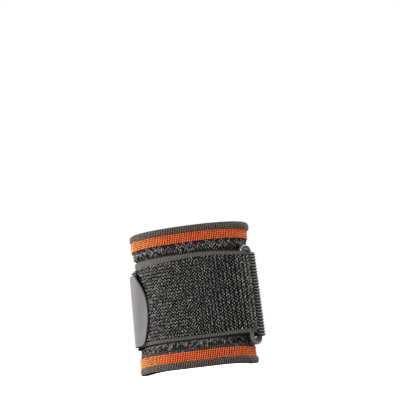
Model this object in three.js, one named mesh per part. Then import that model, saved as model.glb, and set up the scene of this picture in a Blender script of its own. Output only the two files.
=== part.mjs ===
// Elastic wrist support: a knitted cuff with striped borders, cinched by one broad elastic strap. The strap
// is folded round a plastic ring, runs once round the cuff with its pile outwards, turns back through the
// ring and ends on the opposite side, where a hook tab grips the pile.
// Millimetres. +Z runs up to the wider rim, -Y is the front with the pile and +X the side with the ring.
import * as THREE from "three";

// The cuff: an oval tube that leans a little and widens towards its upper rim.
const CUFF_HEIGHT = 80;
const SEAT_HALF_WIDTH = 31.2;
const SEAT_HALF_DEPTH = 21.5;
const OVAL_POWER = 2.2;
const TAPER = 0.029;
const LEAN = 2.8;
const BORDER_SHIFT = -0.5;
const RIM_ARCH = 1.3;
const ARCH_FROM = 5;
const HEM_HEIGHT = 4;
const EDGE_TO_STRAP = 15.2;
const ZIGZAG_TEETH = 40;
const ZIGZAG_SWING = 1.3;

// The wall of the cuff from a rim to the strap, with a row for each course that changes its form.
// rise: height from the rim. outer, inner: how far the two faces lie out from the strap's seat.
// wave: share of the zigzag that the outer face follows. yarn: colour of the wall from here on.
const CUFF_ROWS = [
  { rise: 0.0, outer: 2.5, inner: 1.3, wave: 0, yarn: "hem" },
  { rise: 0.5, outer: 3.15, inner: 0.65, wave: 0, yarn: "hem" },
  { rise: 1.4, outer: 3.4, inner: 0.4, wave: 0, yarn: "hem" },
  { rise: 3.1, outer: 3.4, inner: 0.4, wave: 0, yarn: "hem" },
  { rise: HEM_HEIGHT, outer: 2.7, inner: 0.4, wave: 0, yarn: "stripe" },
  { rise: 9.4, outer: 2.6, inner: 0.3, wave: 0, yarn: "ground" },
  { rise: 10.0, outer: 1.9, inner: 0.0, wave: 0, yarn: "ground" },
  { rise: 12.0, outer: 1.3, inner: -0.7, wave: 1, yarn: "zigzag" },
  { rise: 12.8, outer: 2.0, inner: -1.0, wave: 1, yarn: "zigzag" },
  { rise: 13.6, outer: 0.7, inner: -1.3, wave: 1, yarn: "ground" },
  { rise: 15.2, outer: 0.0, inner: -2.0, wave: 0, yarn: "ground" },
];
const YARNS = { hem: "#5b5651", stripe: "#d0622c", ground: "#35322f", zigzag: "#88847e" };

// The strap: webbing with a pile field between two plain selvedges.
const GAP = 0.35;
const STRAP_THICKNESS = 1.6;
const STRAP_RUN = {
  onCuff: { centre: 40, width: 48, skew: 0 },
  inRing: { centre: 39.1, width: 45.8, skew: 0 },
  afterRing: { centre: 38.3, width: 47.4, skew: 0 },
  freeEnd: { centre: 37, width: 45, skew: 0.2 },
};
const SELVEDGE = 3.8;
const SELVEDGE_STEP = 0.5;
const TUCK_LENGTH = 10;
const FIRST_TURN_SETTLES = 22;
const SECOND_TURN_SETTLES = { lowerEdge: 20, upperEdge: 9 };
const INNER_FOLD_SLACK = 1.43;
const FREE_END_PAST = 11.2;

// The ring, a bent round rod that is thicker across its two ends, and its place: how far its middle lies from
// the +X side towards -Y, how its upper end leans that way, and how far its ends stand off the strap's seat.
const RING_ROD = 3;
const RING_LENGTH = 56.5;
const RING_CORNER = 3;
const RING_END = 1;
const RING_CENTRE = 38.1;
const RING_PLACE = 8.2;
const RING_HALF_SPAN = 4.2;
const RING_LEAN = 0.04;
const RING_LIFT = { lowerEnd: 1.4, upperEnd: -0.35 };

// The hook tab on the free end: past the end of the strap it bends down to the first turn's pile.
const TAB_THICKNESS = 0.8;
const TAB_HALF_WIDTH = 20.3;
const TAB_LENGTH = 50;
const TAB_TIP_PAST = 23.2;
const TAB_TIP_RADIUS = 32;
const TAB_CORNER = 2.2;
const TAB_BEND = { from: 1.5, to: 11 };
const TAB_DROP = 0.4;
const TAB_SKEW = -0.04;

// How finely the faces are cut.
const STRAP_STEPS = { tuck: 4, fold: 8, firstTurn: 72, secondTurn: 48 };
const TAB_STEPS = { along: 18, rows: 10 };
const ROD_ROWS = 6;
const CORNER_STEPS = 6;

// Distances of the strap's layers out from its seat.
const FIRST_LAYER = GAP + STRAP_THICKNESS / 2;
const SECOND_LAYER = FIRST_LAYER + STRAP_THICKNESS + GAP;
const FOLD_RADIUS = RING_ROD / 2 + FIRST_LAYER;
const BAR_LAYER = FIRST_LAYER + FOLD_RADIUS;
const FOLD_CREST = BAR_LAYER + FOLD_RADIUS;
const TAB_UNDERSIDE = SECOND_LAYER + STRAP_THICKNESS / 2 + GAP;
const TAB_FACE = TAB_UNDERSIDE + TAB_THICKNESS;
const TAB_TIP_FACE = FIRST_LAYER + STRAP_THICKNESS / 2 + GAP + TAB_THICKNESS;

const { lerp, smoothstep } = THREE.MathUtils;
const signedPower = (value, power) => Math.sign(value) * Math.abs(value) ** power;
const spread = (from, to, steps) => Array.from({ length: steps + 1 }, (_, i) => lerp(from, to, i / steps));

/** A point of the plan at mid height: a turn round the cuff (0 is the +X side, 0.25 the +Y side) and a
 *  distance out from the strap's seat. */
function planPoint(turn, out) {
  const angle = 2 * Math.PI * turn;
  const x = signedPower(Math.cos(angle), 2 / OVAL_POWER);
  const y = signedPower(Math.sin(angle), 2 / OVAL_POWER);
  const normal = new THREE.Vector2(
    signedPower(x, OVAL_POWER - 1) / SEAT_HALF_WIDTH,
    signedPower(y, OVAL_POWER - 1) / SEAT_HALF_DEPTH,
  ).normalize();
  return new THREE.Vector2(x * SEAT_HALF_WIDTH, y * SEAT_HALF_DEPTH).addScaledVector(normal, out);
}

/** The oval round the cuff a set distance out from the strap's seat, measured by length from the +X side. */
class CuffOval extends THREE.Curve {
  constructor(out) {
    super();
    this.out = out;
    this.arcLengthDivisions = 1440;
    this.length = this.getLength();
  }

  getPoint(turn) {
    return planPoint(turn, this.out);
  }

  /** The turn at a distance along this curve from the +X side. */
  turnAt(distance) {
    const share = distance / this.length;
    return Math.floor(share) + this.getUtoTmapping(share - Math.floor(share));
  }

  /** The distance along this curve at a turn. */
  distanceAt(turn) {
    const lengths = this.getLengths();
    const whole = Math.floor(turn);
    const place = (turn - whole) * (lengths.length - 1);
    const step = Math.floor(place);
    return whole * this.length + lerp(lengths[step], lengths[step + 1], place - step);
  }
}

const SEAT = new CuffOval(0);
const FACE = new CuffOval(TAB_FACE);

/** Moves a plan point to its height: the taper, the lean, the borders' shift and the arch of the lower rim. */
function settle(plan, height) {
  const rise = height / CUFF_HEIGHT;
  const fromRim = Math.min(height, CUFF_HEIGHT - height);
  const size = 1 + TAPER * (rise - 0.5);
  const border = smoothstep(fromRim, HEM_HEIGHT - 1, HEM_HEIGHT + 1) * smoothstep(-fromRim, -EDGE_TO_STRAP, -10);
  const shift = LEAN * (rise - 0.5) + BORDER_SHIFT * border;
  const arch = RIM_ARCH * smoothstep(Math.abs(plan.y), ARCH_FROM, SEAT_HALF_DEPTH);
  return new THREE.Vector3(plan.x * size + shift, plan.y * size, height + arch * (1 - rise));
}

/** A closed wall between two faces of points [column][row], or a hoop when the last column meets the first. */
function wall(outer, inner, { hoop = false, colours = null } = {}) {
  const positions = [];
  const tints = [];
  const quad = (corners, colour) => {
    for (const corner of [0, 1, 2, 0, 2, 3]) {
      positions.push(...corners[corner].toArray());
      if (colours) tints.push(...colour.toArray());
    }
  };
  const last = outer.length - 1;
  const top = outer[0].length - 1;
  const shade = (row) => colours && colours[Math.min(row, top - 1)];
  for (let i = 0; i < (hoop ? last + 1 : last); i++) {
    const next = (i + 1) % outer.length;
    for (let j = 0; j < top; j++) {
      quad([outer[i][j], outer[next][j], outer[next][j + 1], outer[i][j + 1]], shade(j));
      quad([inner[i][j], inner[i][j + 1], inner[next][j + 1], inner[next][j]], shade(j));
    }
    quad([inner[i][0], inner[next][0], outer[next][0], outer[i][0]], shade(0));
    quad([outer[i][top], outer[next][top], inner[next][top], inner[i][top]], shade(top));
  }
  for (let j = 0; j < top && !hoop; j++) {
    quad([outer[0][j], outer[0][j + 1], inner[0][j + 1], inner[0][j]], shade(j));
    quad([outer[last][j], inner[last][j], inner[last][j + 1], outer[last][j + 1]], shade(j));
  }
  const geometry = new THREE.BufferGeometry();
  geometry.setAttribute("position", new THREE.Float32BufferAttribute(positions, 3));
  if (colours) geometry.setAttribute("color", new THREE.Float32BufferAttribute(tints, 3));
  geometry.computeVertexNormals();
  return geometry;
}

/** A named piece with a material of its own. */
function piece(name, geometry, look) {
  const mesh = new THREE.Mesh(geometry, new THREE.MeshStandardMaterial({ metalness: 0, ...look }));
  mesh.name = name;
  return mesh;
}

/** The knitted tube: the rows of the table from the lower rim up, and the same rows down from the upper rim. */
function knitCuff() {
  const upper = CUFF_ROWS.map((row) => ({ ...row, rise: CUFF_HEIGHT - row.rise, wave: -row.wave })).reverse();
  const rows = [...CUFF_ROWS, ...upper];
  const colours = rows.slice(1).map((_, j) => {
    const course = Math.min(j, rows.length - 2 - j);
    return new THREE.Color(YARNS[CUFF_ROWS[course].yarn]);
  });
  const outer = [];
  const inner = [];
  for (let i = 0; i < 2 * ZIGZAG_TEETH; i++) {
    const turn = SEAT.turnAt((SEAT.length * i) / (2 * ZIGZAG_TEETH));
    const swing = i % 2 ? ZIGZAG_SWING : -ZIGZAG_SWING;
    outer.push(rows.map((row) => settle(planPoint(turn, row.outer), row.rise + row.wave * swing)));
    inner.push(rows.map((row) => settle(planPoint(turn, row.inner), row.rise)));
  }
  return piece("knit_cuff", wall(outer, inner, { hoop: true, colours }), { vertexColors: true, roughness: 0.95 });
}

// The ring's two bars: the strap starts on the inner one and turns back on the outer one.
const INNER_BAR = -1;
const OUTER_BAR = 1;

/** The unit direction out from the strap's seat at a turn, in plan. */
const outwards = (turn) => planPoint(turn, 1).sub(planPoint(turn, 0));

/** The unit direction round the cuff at an outward direction, in plan. */
const aroundFrom = (out) => new THREE.Vector2(-out.y, out.x);

// The ring's own direction from its inner bar to its outer one, in plan.
const RING_OVER = aroundFrom(outwards(SEAT.turnAt(-RING_PLACE)));

/** How far a height lies up the ring, from 0 at its lower end to 1 at its upper end. */
const ringShare = (height) => 0.5 + (height - RING_CENTRE) / RING_LENGTH;

/** A bar of the ring at a height: its middle in plan, the place on the seat under it and its distance out. */
function barAt(bar, height) {
  const lean = RING_LEAN * (height - RING_CENTRE);
  const lift = lerp(RING_LIFT.lowerEnd, RING_LIFT.upperEnd, ringShare(height));
  const point = planPoint(SEAT.turnAt(-RING_PLACE - lean), BAR_LAYER + lift);
  point.addScaledVector(RING_OVER, bar * RING_HALF_SPAN);
  const under = { place: bar * RING_HALF_SPAN - RING_PLACE, out: 0 };
  for (let step = 0; step < 12; step++) {
    const turn = SEAT.turnAt(under.place);
    const away = point.clone().sub(planPoint(turn, 0));
    under.out = away.dot(outwards(turn));
    under.place += 0.75 * away.dot(aroundFrom(outwards(turn)));
  }
  return { point, place: under.place, lift: under.out - BAR_LAYER };
}

// Lengths of the strap's stretches, from the tucked end to the free end.
const FOLD_LENGTH = Math.PI * FOLD_RADIUS;
const FIRST_TURN = SEAT.length - barAt(OUTER_BAR, RING_CENTRE).place + barAt(INNER_BAR, RING_CENTRE).place;
const FREE_END_ON_FACE = FACE.length / 2 + FREE_END_PAST;
const SECOND_TURN = FREE_END_ON_FACE - FACE.distanceAt(SEAT.turnAt(barAt(OUTER_BAR, RING_CENTRE).place));
const FREE_END = TUCK_LENGTH + FIRST_TURN + SECOND_TURN + 2 * FOLD_LENGTH;

/** The fold round a bar of the ring, through the ring's window from under the bar to its outer side. */
function foldPoint(bar, distance, height) {
  const { point, place } = barAt(bar, height);
  const out = outwards(SEAT.turnAt(place));
  const angle = distance / FOLD_RADIUS;
  const reach = FOLD_RADIUS * (bar === INNER_BAR ? INNER_FOLD_SLACK : 1);
  point.addScaledVector(out, -FOLD_RADIUS * Math.cos(angle));
  return point.addScaledVector(aroundFrom(out), -bar * reach * Math.sin(angle));
}

/** The strap's middle line in plan, at a distance from its tucked end and a height. */
function strapPlan(distance, height) {
  const start = barAt(INNER_BAR, height);
  const back = barAt(OUTER_BAR, height);
  let left = distance;
  if (left < TUCK_LENGTH) {
    const out = FIRST_LAYER + start.lift * smoothstep(left, 0, TUCK_LENGTH);
    return planPoint(SEAT.turnAt(start.place - TUCK_LENGTH + left), out);
  }
  left -= TUCK_LENGTH;
  if (left < FOLD_LENGTH) return foldPoint(INNER_BAR, left, height);
  left -= FOLD_LENGTH;
  if (left < FIRST_TURN) {
    const rising = back.lift * smoothstep(left, FIRST_TURN - TUCK_LENGTH, FIRST_TURN);
    const out = lerp(FOLD_CREST + start.lift, FIRST_LAYER + rising, smoothstep(left, 0, FIRST_TURN_SETTLES));
    return planPoint(SEAT.turnAt(lerp(start.place, back.place - SEAT.length, left / FIRST_TURN)), out);
  }
  left -= FIRST_TURN;
  if (left < FOLD_LENGTH) return foldPoint(OUTER_BAR, left, height);
  left -= FOLD_LENGTH;
  const settles = lerp(SECOND_TURN_SETTLES.lowerEdge, SECOND_TURN_SETTLES.upperEdge, ringShare(height));
  const out = lerp(FOLD_CREST + back.lift, SECOND_LAYER, smoothstep(left, 0, settles));
  const from = FACE.distanceAt(SEAT.turnAt(back.place));
  return planPoint(FACE.turnAt(lerp(from, FREE_END_ON_FACE, left / SECOND_TURN)), out);
}

/** The unit direction across the strap's thickness, towards its ribbed face. */
function strapSide(distance, height) {
  const reach = 0.05;
  const ahead = strapPlan(distance + reach, height).sub(strapPlan(distance - reach, height));
  return new THREE.Vector2(ahead.y, -ahead.x).normalize();
}

// The strap's run from the tucked end to the free end: it is drawn in where it passes the ring.
const STRAP_MARKS = [
  { at: TUCK_LENGTH + FOLD_LENGTH, ...STRAP_RUN.inRing },
  { at: TUCK_LENGTH + FOLD_LENGTH + FIRST_TURN_SETTLES, ...STRAP_RUN.onCuff },
  { at: TUCK_LENGTH + FOLD_LENGTH + FIRST_TURN - FIRST_TURN_SETTLES, ...STRAP_RUN.onCuff },
  { at: TUCK_LENGTH + FOLD_LENGTH + FIRST_TURN, ...STRAP_RUN.inRing },
  { at: FREE_END - SECOND_TURN, ...STRAP_RUN.afterRing },
  { at: FREE_END, ...STRAP_RUN.freeEnd },
];

/** The strap's centre height, width and skew at a distance from its tucked end. */
function strapRun(distance) {
  const next = STRAP_MARKS.findIndex((mark) => mark.at >= distance);
  if (next === 0) return STRAP_MARKS[0];
  const to = STRAP_MARKS.at(next);
  const from = STRAP_MARKS.at(next < 0 ? next : next - 1);
  const share = smoothstep(distance, from.at, to.at);
  return {
    centre: lerp(from.centre, to.centre, share),
    width: lerp(from.width, to.width, share),
    skew: lerp(from.skew, to.skew, share),
  };
}

/** The webbing: a thick pile field between two thinner selvedges, flat on the ribbed face. */
function strap() {
  const half = STRAP_THICKNESS / 2;
  const rows = [
    { inset: 0, sign: -1, pile: half - SELVEDGE_STEP },
    { inset: SELVEDGE - SELVEDGE_STEP, sign: -1, pile: half - SELVEDGE_STEP },
    { inset: SELVEDGE, sign: -1, pile: half },
    { inset: SELVEDGE, sign: 1, pile: half },
    { inset: SELVEDGE - SELVEDGE_STEP, sign: 1, pile: half - SELVEDGE_STEP },
    { inset: 0, sign: 1, pile: half - SELVEDGE_STEP },
  ];
  const marks = [0, TUCK_LENGTH, FOLD_LENGTH, FIRST_TURN, FOLD_LENGTH, SECOND_TURN];
  const steps = [STRAP_STEPS.tuck, STRAP_STEPS.fold, STRAP_STEPS.firstTurn, STRAP_STEPS.fold, STRAP_STEPS.secondTurn];
  const stations = [0];
  steps.forEach((count, i) => {
    const from = stations[stations.length - 1];
    stations.push(...spread(from, from + marks[i + 1], count).slice(1));
  });
  const ribbed = [];
  const piled = [];
  for (const station of stations) {
    const { centre, width, skew } = strapRun(station);
    const points = rows.map(({ inset, sign, pile }) => {
      const across = sign * (width / 2 - inset);
      const place = station + across * skew;
      const height = centre + across;
      const plan = strapPlan(place, height);
      const side = strapSide(place, height);
      return {
        ribbed: settle(plan.clone().addScaledVector(side, half), height),
        piled: settle(plan.clone().addScaledVector(side, -pile), height),
      };
    });
    ribbed.push(points.map((point) => point.ribbed));
    piled.push(points.map((point) => point.piled));
  }
  return piece("strap", wall(ribbed, piled), { color: "#3d3b39", roughness: 0.95 });
}

/** The ring: a round rod bent to a rounded rectangle, standing in the two folds of the strap. */
function strapRing() {
  const ends = [0, 1].map((end) => {
    const height = RING_CENTRE + (end - 0.5) * STRAP_RUN.inRing.width * 0.8;
    return [INNER_BAR, OUTER_BAR].map((bar) => settle(barAt(bar, height).point, height));
  });
  const lower = ends[0][0].clone().lerp(ends[0][1], 0.5);
  const upper = ends[1][0].clone().lerp(ends[1][1], 0.5);
  const halfLength = (RING_LENGTH - RING_ROD) / 2;
  const angles = spread(0, Math.PI, ROD_ROWS).slice(1).map((angle) => angle - Math.PI * (0.5 + 0.5 / ROD_ROWS));
  const outer = [];
  const inner = [];
  for (const quarter of [0, 1, 2, 3]) {
    const corner = new THREE.Vector2(quarter % 3 ? -1 : 1, quarter < 2 ? 1 : -1);
    corner.multiply(new THREE.Vector2(RING_HALF_SPAN - RING_CORNER, halfLength - RING_CORNER));
    for (const bend of spread(quarter, quarter + 1, CORNER_STEPS)) {
      const away = new THREE.Vector2(Math.cos((bend * Math.PI) / 2), Math.sin((bend * Math.PI) / 2));
      const rod = (angle, sign) => {
        const half = RING_ROD / 2 + (sign < 0 ? RING_END * away.y ** 2 : 0);
        const reach = RING_CORNER + sign * Math.cos(angle) * half;
        const flat = corner.clone().addScaledVector(away, reach);
        return new THREE.Vector3(flat.x, flat.y, (Math.sin(angle) * RING_ROD) / 2);
      };
      outer.push(angles.map((angle) => rod(angle, 1)));
      inner.push(angles.map((angle) => rod(angle, -1)));
    }
  }
  const ring = piece("strap_ring", wall(outer, inner, { hoop: true }), { color: "#2b2a29", roughness: 0.35 });
  const up = upper.clone().sub(lower).normalize();
  const over = ends[0][1].clone().sub(ends[0][0]);
  over.addScaledVector(up, -over.dot(up)).normalize();
  ring.quaternion.setFromRotationMatrix(new THREE.Matrix4().makeBasis(over, up, over.clone().cross(up)));
  ring.position.copy(lower).lerp(upper, 0.5);
  return ring;
}

/** The hook tab: flat on the strap's free end, its round tip bent down to the pile of the first turn. */
function hookTab() {
  const tipPlace = FACE.length / 2 + TAB_TIP_PAST;
  const outer = [];
  const inner = [];
  for (const share of spread(0, 1, TAB_STEPS.along)) {
    const columns = spread(-Math.PI / 2, Math.PI / 2, TAB_STEPS.rows).map((angle) => {
      const across = TAB_HALF_WIDTH * Math.sin(angle);
      const inCorner = Math.max(0, Math.abs(across) - TAB_HALF_WIDTH + TAB_CORNER);
      const sagitta = TAB_TIP_RADIUS - Math.sqrt(TAB_TIP_RADIUS ** 2 - across ** 2);
      const rounding = TAB_CORNER - Math.sqrt(TAB_CORNER ** 2 - inCorner ** 2);
      const place = lerp(tipPlace - TAB_LENGTH, tipPlace - sagitta - rounding, share) + across * TAB_SKEW;
      const pastStrap = place - FREE_END_ON_FACE - across * STRAP_RUN.freeEnd.skew;
      const face = lerp(TAB_FACE, TAB_TIP_FACE, smoothstep(pastStrap, TAB_BEND.from, TAB_BEND.to));
      const under = face - TAB_THICKNESS;
      const onStrap = Math.min(FREE_END - FREE_END_ON_FACE + place, FREE_END);
      const height = strapRun(onStrap).centre + across - TAB_DROP;
      const turn = FACE.turnAt(place);
      return { outer: settle(planPoint(turn, face), height), inner: settle(planPoint(turn, under), height) };
    });
    outer.push(columns.map((column) => column.outer));
    inner.push(columns.map((column) => column.inner));
  }
  return piece("hook_tab", wall(outer, inner), { color: "#95928f", roughness: 0.6 });
}

const support = new THREE.Group();
support.name = "wrist_support";
support.add(knitCuff(), strap(), strapRing(), hookTab());

// The part stands on its lower rim, with the middle of its box over the origin.
const box = new THREE.Box3().setFromObject(support, true);
for (const part of support.children) {
  part.position.x -= (box.min.x + box.max.x) / 2;
  part.position.y -= (box.min.y + box.max.y) / 2;
  part.position.z -= box.min.z;
}

export default support;
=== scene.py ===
"""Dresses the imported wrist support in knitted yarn, pile webbing and moulded plastic, and sets its studio.

Sizes are in millimetres until a mesh is made. Objects are in metres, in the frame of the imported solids.
"""

import logging
import math
from dataclasses import dataclass
from enum import Enum
from typing import Any

import bpy
import numpy as np
from mathutils import Matrix, Vector


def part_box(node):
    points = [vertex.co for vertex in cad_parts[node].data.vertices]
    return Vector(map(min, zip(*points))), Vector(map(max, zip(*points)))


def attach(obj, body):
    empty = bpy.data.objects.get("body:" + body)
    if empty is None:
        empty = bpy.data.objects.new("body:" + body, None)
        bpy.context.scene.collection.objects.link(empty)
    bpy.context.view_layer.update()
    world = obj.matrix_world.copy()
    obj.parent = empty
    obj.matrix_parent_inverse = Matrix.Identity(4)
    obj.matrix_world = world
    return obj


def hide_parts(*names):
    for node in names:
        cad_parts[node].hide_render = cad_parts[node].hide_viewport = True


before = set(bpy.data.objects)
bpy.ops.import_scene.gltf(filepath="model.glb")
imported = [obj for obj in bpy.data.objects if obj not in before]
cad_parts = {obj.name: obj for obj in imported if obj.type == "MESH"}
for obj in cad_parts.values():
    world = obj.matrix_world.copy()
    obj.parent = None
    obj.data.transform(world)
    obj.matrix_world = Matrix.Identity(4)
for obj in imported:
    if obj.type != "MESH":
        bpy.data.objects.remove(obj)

LOG = logging.getLogger("wrist_support")
MM = 0.001
Triple = tuple[float, float, float]
Colour = Triple
Reals = np.ndarray | float
Faces = tuple[np.ndarray, np.ndarray, np.ndarray]
Guide = tuple[np.ndarray, np.ndarray, np.ndarray]
Material = bpy.types.Material
Piece = bpy.types.Object
Socket = bpy.types.NodeSocket
Sockets = bpy.types.bpy_prop_collection

# Sockets that share a name with others on their node, so they go by number
MIX_COLOURS = (6, 7)
MIX_RESULT = 2
RANDOM_LOW, RANDOM_HIGH, RANDOM_SEED = 2, 3, 8
RANDOM_RESULT = 1
SUM_THIRD = 2


def smoothstep(value: np.ndarray, low: Reals, high: Reals) -> np.ndarray:
    """Rises smoothly from 0 to 1.

    Args:
        value: the values to place.
        low: where the rise starts.
        high: where it ends.

    Returns:
        The share of the rise at each value.
    """
    share = np.clip((value - low) / (high - low), 0.0, 1.0)
    return share * share * (3.0 - 2.0 * share)


def unit(vectors: np.ndarray) -> np.ndarray:
    """Gives vectors a length of 1."""
    return vectors / np.linalg.norm(vectors, axis=-1, keepdims=True)


class NodeBench:
    """Adds nodes to a tree and joins them."""

    def __init__(self, tree: bpy.types.NodeTree) -> None:
        """Starts work on a tree.

        Args:
            tree: the node tree that takes the nodes.
        """
        self.tree = tree

    def add(self, kind: str, sockets: dict[str | int, Any] | None = None, **settings: Any) -> bpy.types.Node:
        """Adds one node.

        Args:
            kind: the node's type name.
            sockets: a value, or a socket to join, for each named or numbered input.
            settings: the node's own properties, set before its inputs.

        Returns:
            The new node.
        """
        node = self.tree.nodes.new(kind)
        for name, value in settings.items():
            setattr(node, name, value)
        for name, value in (sockets or {}).items():
            if isinstance(value, Socket):
                self.tree.links.new(value, node.inputs[name])
            else:
                node.inputs[name].default_value = value
        return node


class Finish:
    """A material under construction: its node bench and its main shader."""

    def __init__(self, name: str) -> None:
        """Makes an empty material.

        Args:
            name: the material's name.
        """
        self.material = bpy.data.materials.new(name)
        self.material.use_nodes = True
        self.material.node_tree.nodes.clear()
        self.bench = NodeBench(self.material.node_tree)
        self.shader = self.bench.add("ShaderNodeBsdfPrincipled")
        self.bench.add("ShaderNodeOutputMaterial", {"Surface": self.shader.outputs["BSDF"]})

    def set(self, **sockets: Any) -> None:
        """Sets or joins the main shader's inputs.

        Args:
            sockets: a value or a socket for each input, named with underscores for spaces.
        """
        for name, value in sockets.items():
            target = self.shader.inputs[name.replace("_", " ")]
            if isinstance(value, Socket):
                self.bench.tree.links.new(value, target)
            else:
                target.default_value = value

    def blend(self, share: Socket, low: Any, high: Any) -> Socket:
        """Mixes two colours.

        Args:
            share: the share of the second colour.
            low: a colour, or a socket that gives one.
            high: the second colour or socket.

        Returns:
            The mixed colour's socket.
        """
        mix = self.bench.add("ShaderNodeMix", {"Factor": share}, data_type="RGBA")
        for index, value in zip(MIX_COLOURS, (low, high)):
            if isinstance(value, Socket):
                self.bench.tree.links.new(value, mix.inputs[index])
            else:
                mix.inputs[index].default_value = (*value, 1.0)
        return mix.outputs[MIX_RESULT]

    def noise(self, coordinates: Socket, scale: float, detail: float = 2.0) -> Socket:
        """A noise from 0 to 1 over the given coordinates."""
        sockets = {"Vector": coordinates, "Scale": scale, "Detail": detail}
        return self.bench.add("ShaderNodeTexNoise", sockets).outputs["Fac"]

    def wave(self, coordinates: Socket, direction: str, per_unit: float) -> Socket:
        """A sine wave from 0 to 1 along one axis.

        Args:
            coordinates: the coordinates that it runs over.
            direction: its axis, X or Y.
            per_unit: the number of waves to each unit.

        Returns:
            The wave's socket.
        """
        sockets = {"Vector": coordinates, "Scale": per_unit * math.pi / 10.0}
        settings = {"wave_type": "BANDS", "bands_direction": direction, "wave_profile": "SIN"}
        return self.bench.add("ShaderNodeTexWave", sockets, **settings).outputs["Fac"]

    def math(self, operation: str, first: Any, second: Any) -> Socket:
        """One sum on two numbers or sockets."""
        return self.bench.add("ShaderNodeMath", {0: first, 1: second}, operation=operation).outputs[0]

    def bump(self, height: Socket, strength: float, depth: float) -> Socket:
        """A bumped normal, with its depth in millimetres."""
        sockets = {"Height": height, "Strength": strength, "Distance": depth * MM}
        return self.bench.add("ShaderNodeBump", sockets).outputs["Normal"]

    def object_space(self) -> Socket:
        """The piece's own coordinates, in metres."""
        return self.bench.add("ShaderNodeTexCoord").outputs["Object"]

    def cloth_space(self) -> Socket:
        """The cloth's coordinates along and across, in millimetres."""
        return self.bench.add("ShaderNodeUVMap", uv_map="cloth").outputs["UV"]


def scaled(colour: Colour, factor: float) -> Colour:
    """A colour made lighter or darker."""
    return tuple(min(1.0, part * factor) for part in colour)


@dataclass(frozen=True)
class YarnFinish:
    """Spun yarn: its tone changes from stitch to stitch, with a fibre bump and a soft sheen.

    A yarn with a painted light colour turns to it towards the -X side, between two places given in
    millimetres: painted light, a lighter and yellower tone on the side that the key light falls on.
    """

    name: str
    colour: Colour
    spread: float = 0.3
    roughness: float = 0.8
    sheen: float = 0.08
    sheen_tint: Colour = (1.0, 1.0, 1.0)
    faded: Colour | None = None
    fades_from: float = -12.0
    fades_to: float = -38.0
    fibres: float = 2200.0
    fibre_depth: float = 0.08
    wear: float = 160.0

    def material(self) -> Material:
        """Makes the yarn's material.

        Returns:
            The material.
        """
        finish = Finish(self.name)
        tone = finish.bench.add("ShaderNodeAttribute", attribute_name="tone").outputs["Fac"]
        place = finish.object_space()
        pale, deep = scaled(self.colour, 1 + self.spread), scaled(self.colour, 1 - self.spread)
        worn_and_painted_light = finish.blend(finish.noise(place, self.wear), finish.blend(tone, deep, pale), self.colour)
        # Painted light: towards the -X side, where the key light falls, the colour turns to a lighter,
        # yellower one.
        if self.faded:
            across = finish.bench.add("ShaderNodeSeparateXYZ", {"Vector": place}).outputs["X"]
            sockets = {"Value": across, "From Min": self.fades_from * MM, "From Max": self.fades_to * MM}
            share = finish.bench.add("ShaderNodeMapRange", sockets, interpolation_type="SMOOTHSTEP")
            worn_and_painted_light = finish.blend(share.outputs["Result"], worn_and_painted_light, self.faded)
        finish.set(Base_Color=worn_and_painted_light, Roughness=self.roughness, Specular_IOR_Level=0.1)
        finish.set(Sheen_Weight=self.sheen, Sheen_Roughness=0.5, Sheen_Tint=(*self.sheen_tint, 1.0))
        finish.set(Normal=finish.bump(finish.noise(place, self.fibres), 0.5, self.fibre_depth))
        return finish.material


@dataclass(frozen=True)
class KnitGroundFinish:
    """The knit behind the raised stitches: dark, with the wales showing as fine ribs."""

    name: str
    colour: Colour
    wale: float = 0.94
    course: float = 1.1
    darker: float = 0.55
    lighter: float = 1.25
    depth: float = 0.25

    def material(self) -> Material:
        """Makes the ground's material.

        Returns:
            The material.
        """
        finish = Finish(self.name)
        cloth = finish.cloth_space()
        ribs = finish.wave(cloth, "X", 1.0 / self.wale)
        courses = finish.wave(cloth, "Y", 1.0 / self.course)
        weave = finish.math("MULTIPLY", ribs, finish.math("MULTIPLY_ADD", courses, 0.5))
        colour = finish.blend(weave, scaled(self.colour, self.darker), scaled(self.colour, self.lighter))
        finish.set(Base_Color=colour, Roughness=0.9, Specular_IOR_Level=0.04)
        finish.set(Normal=finish.bump(weave, 0.6, self.depth))
        return finish.material


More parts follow.
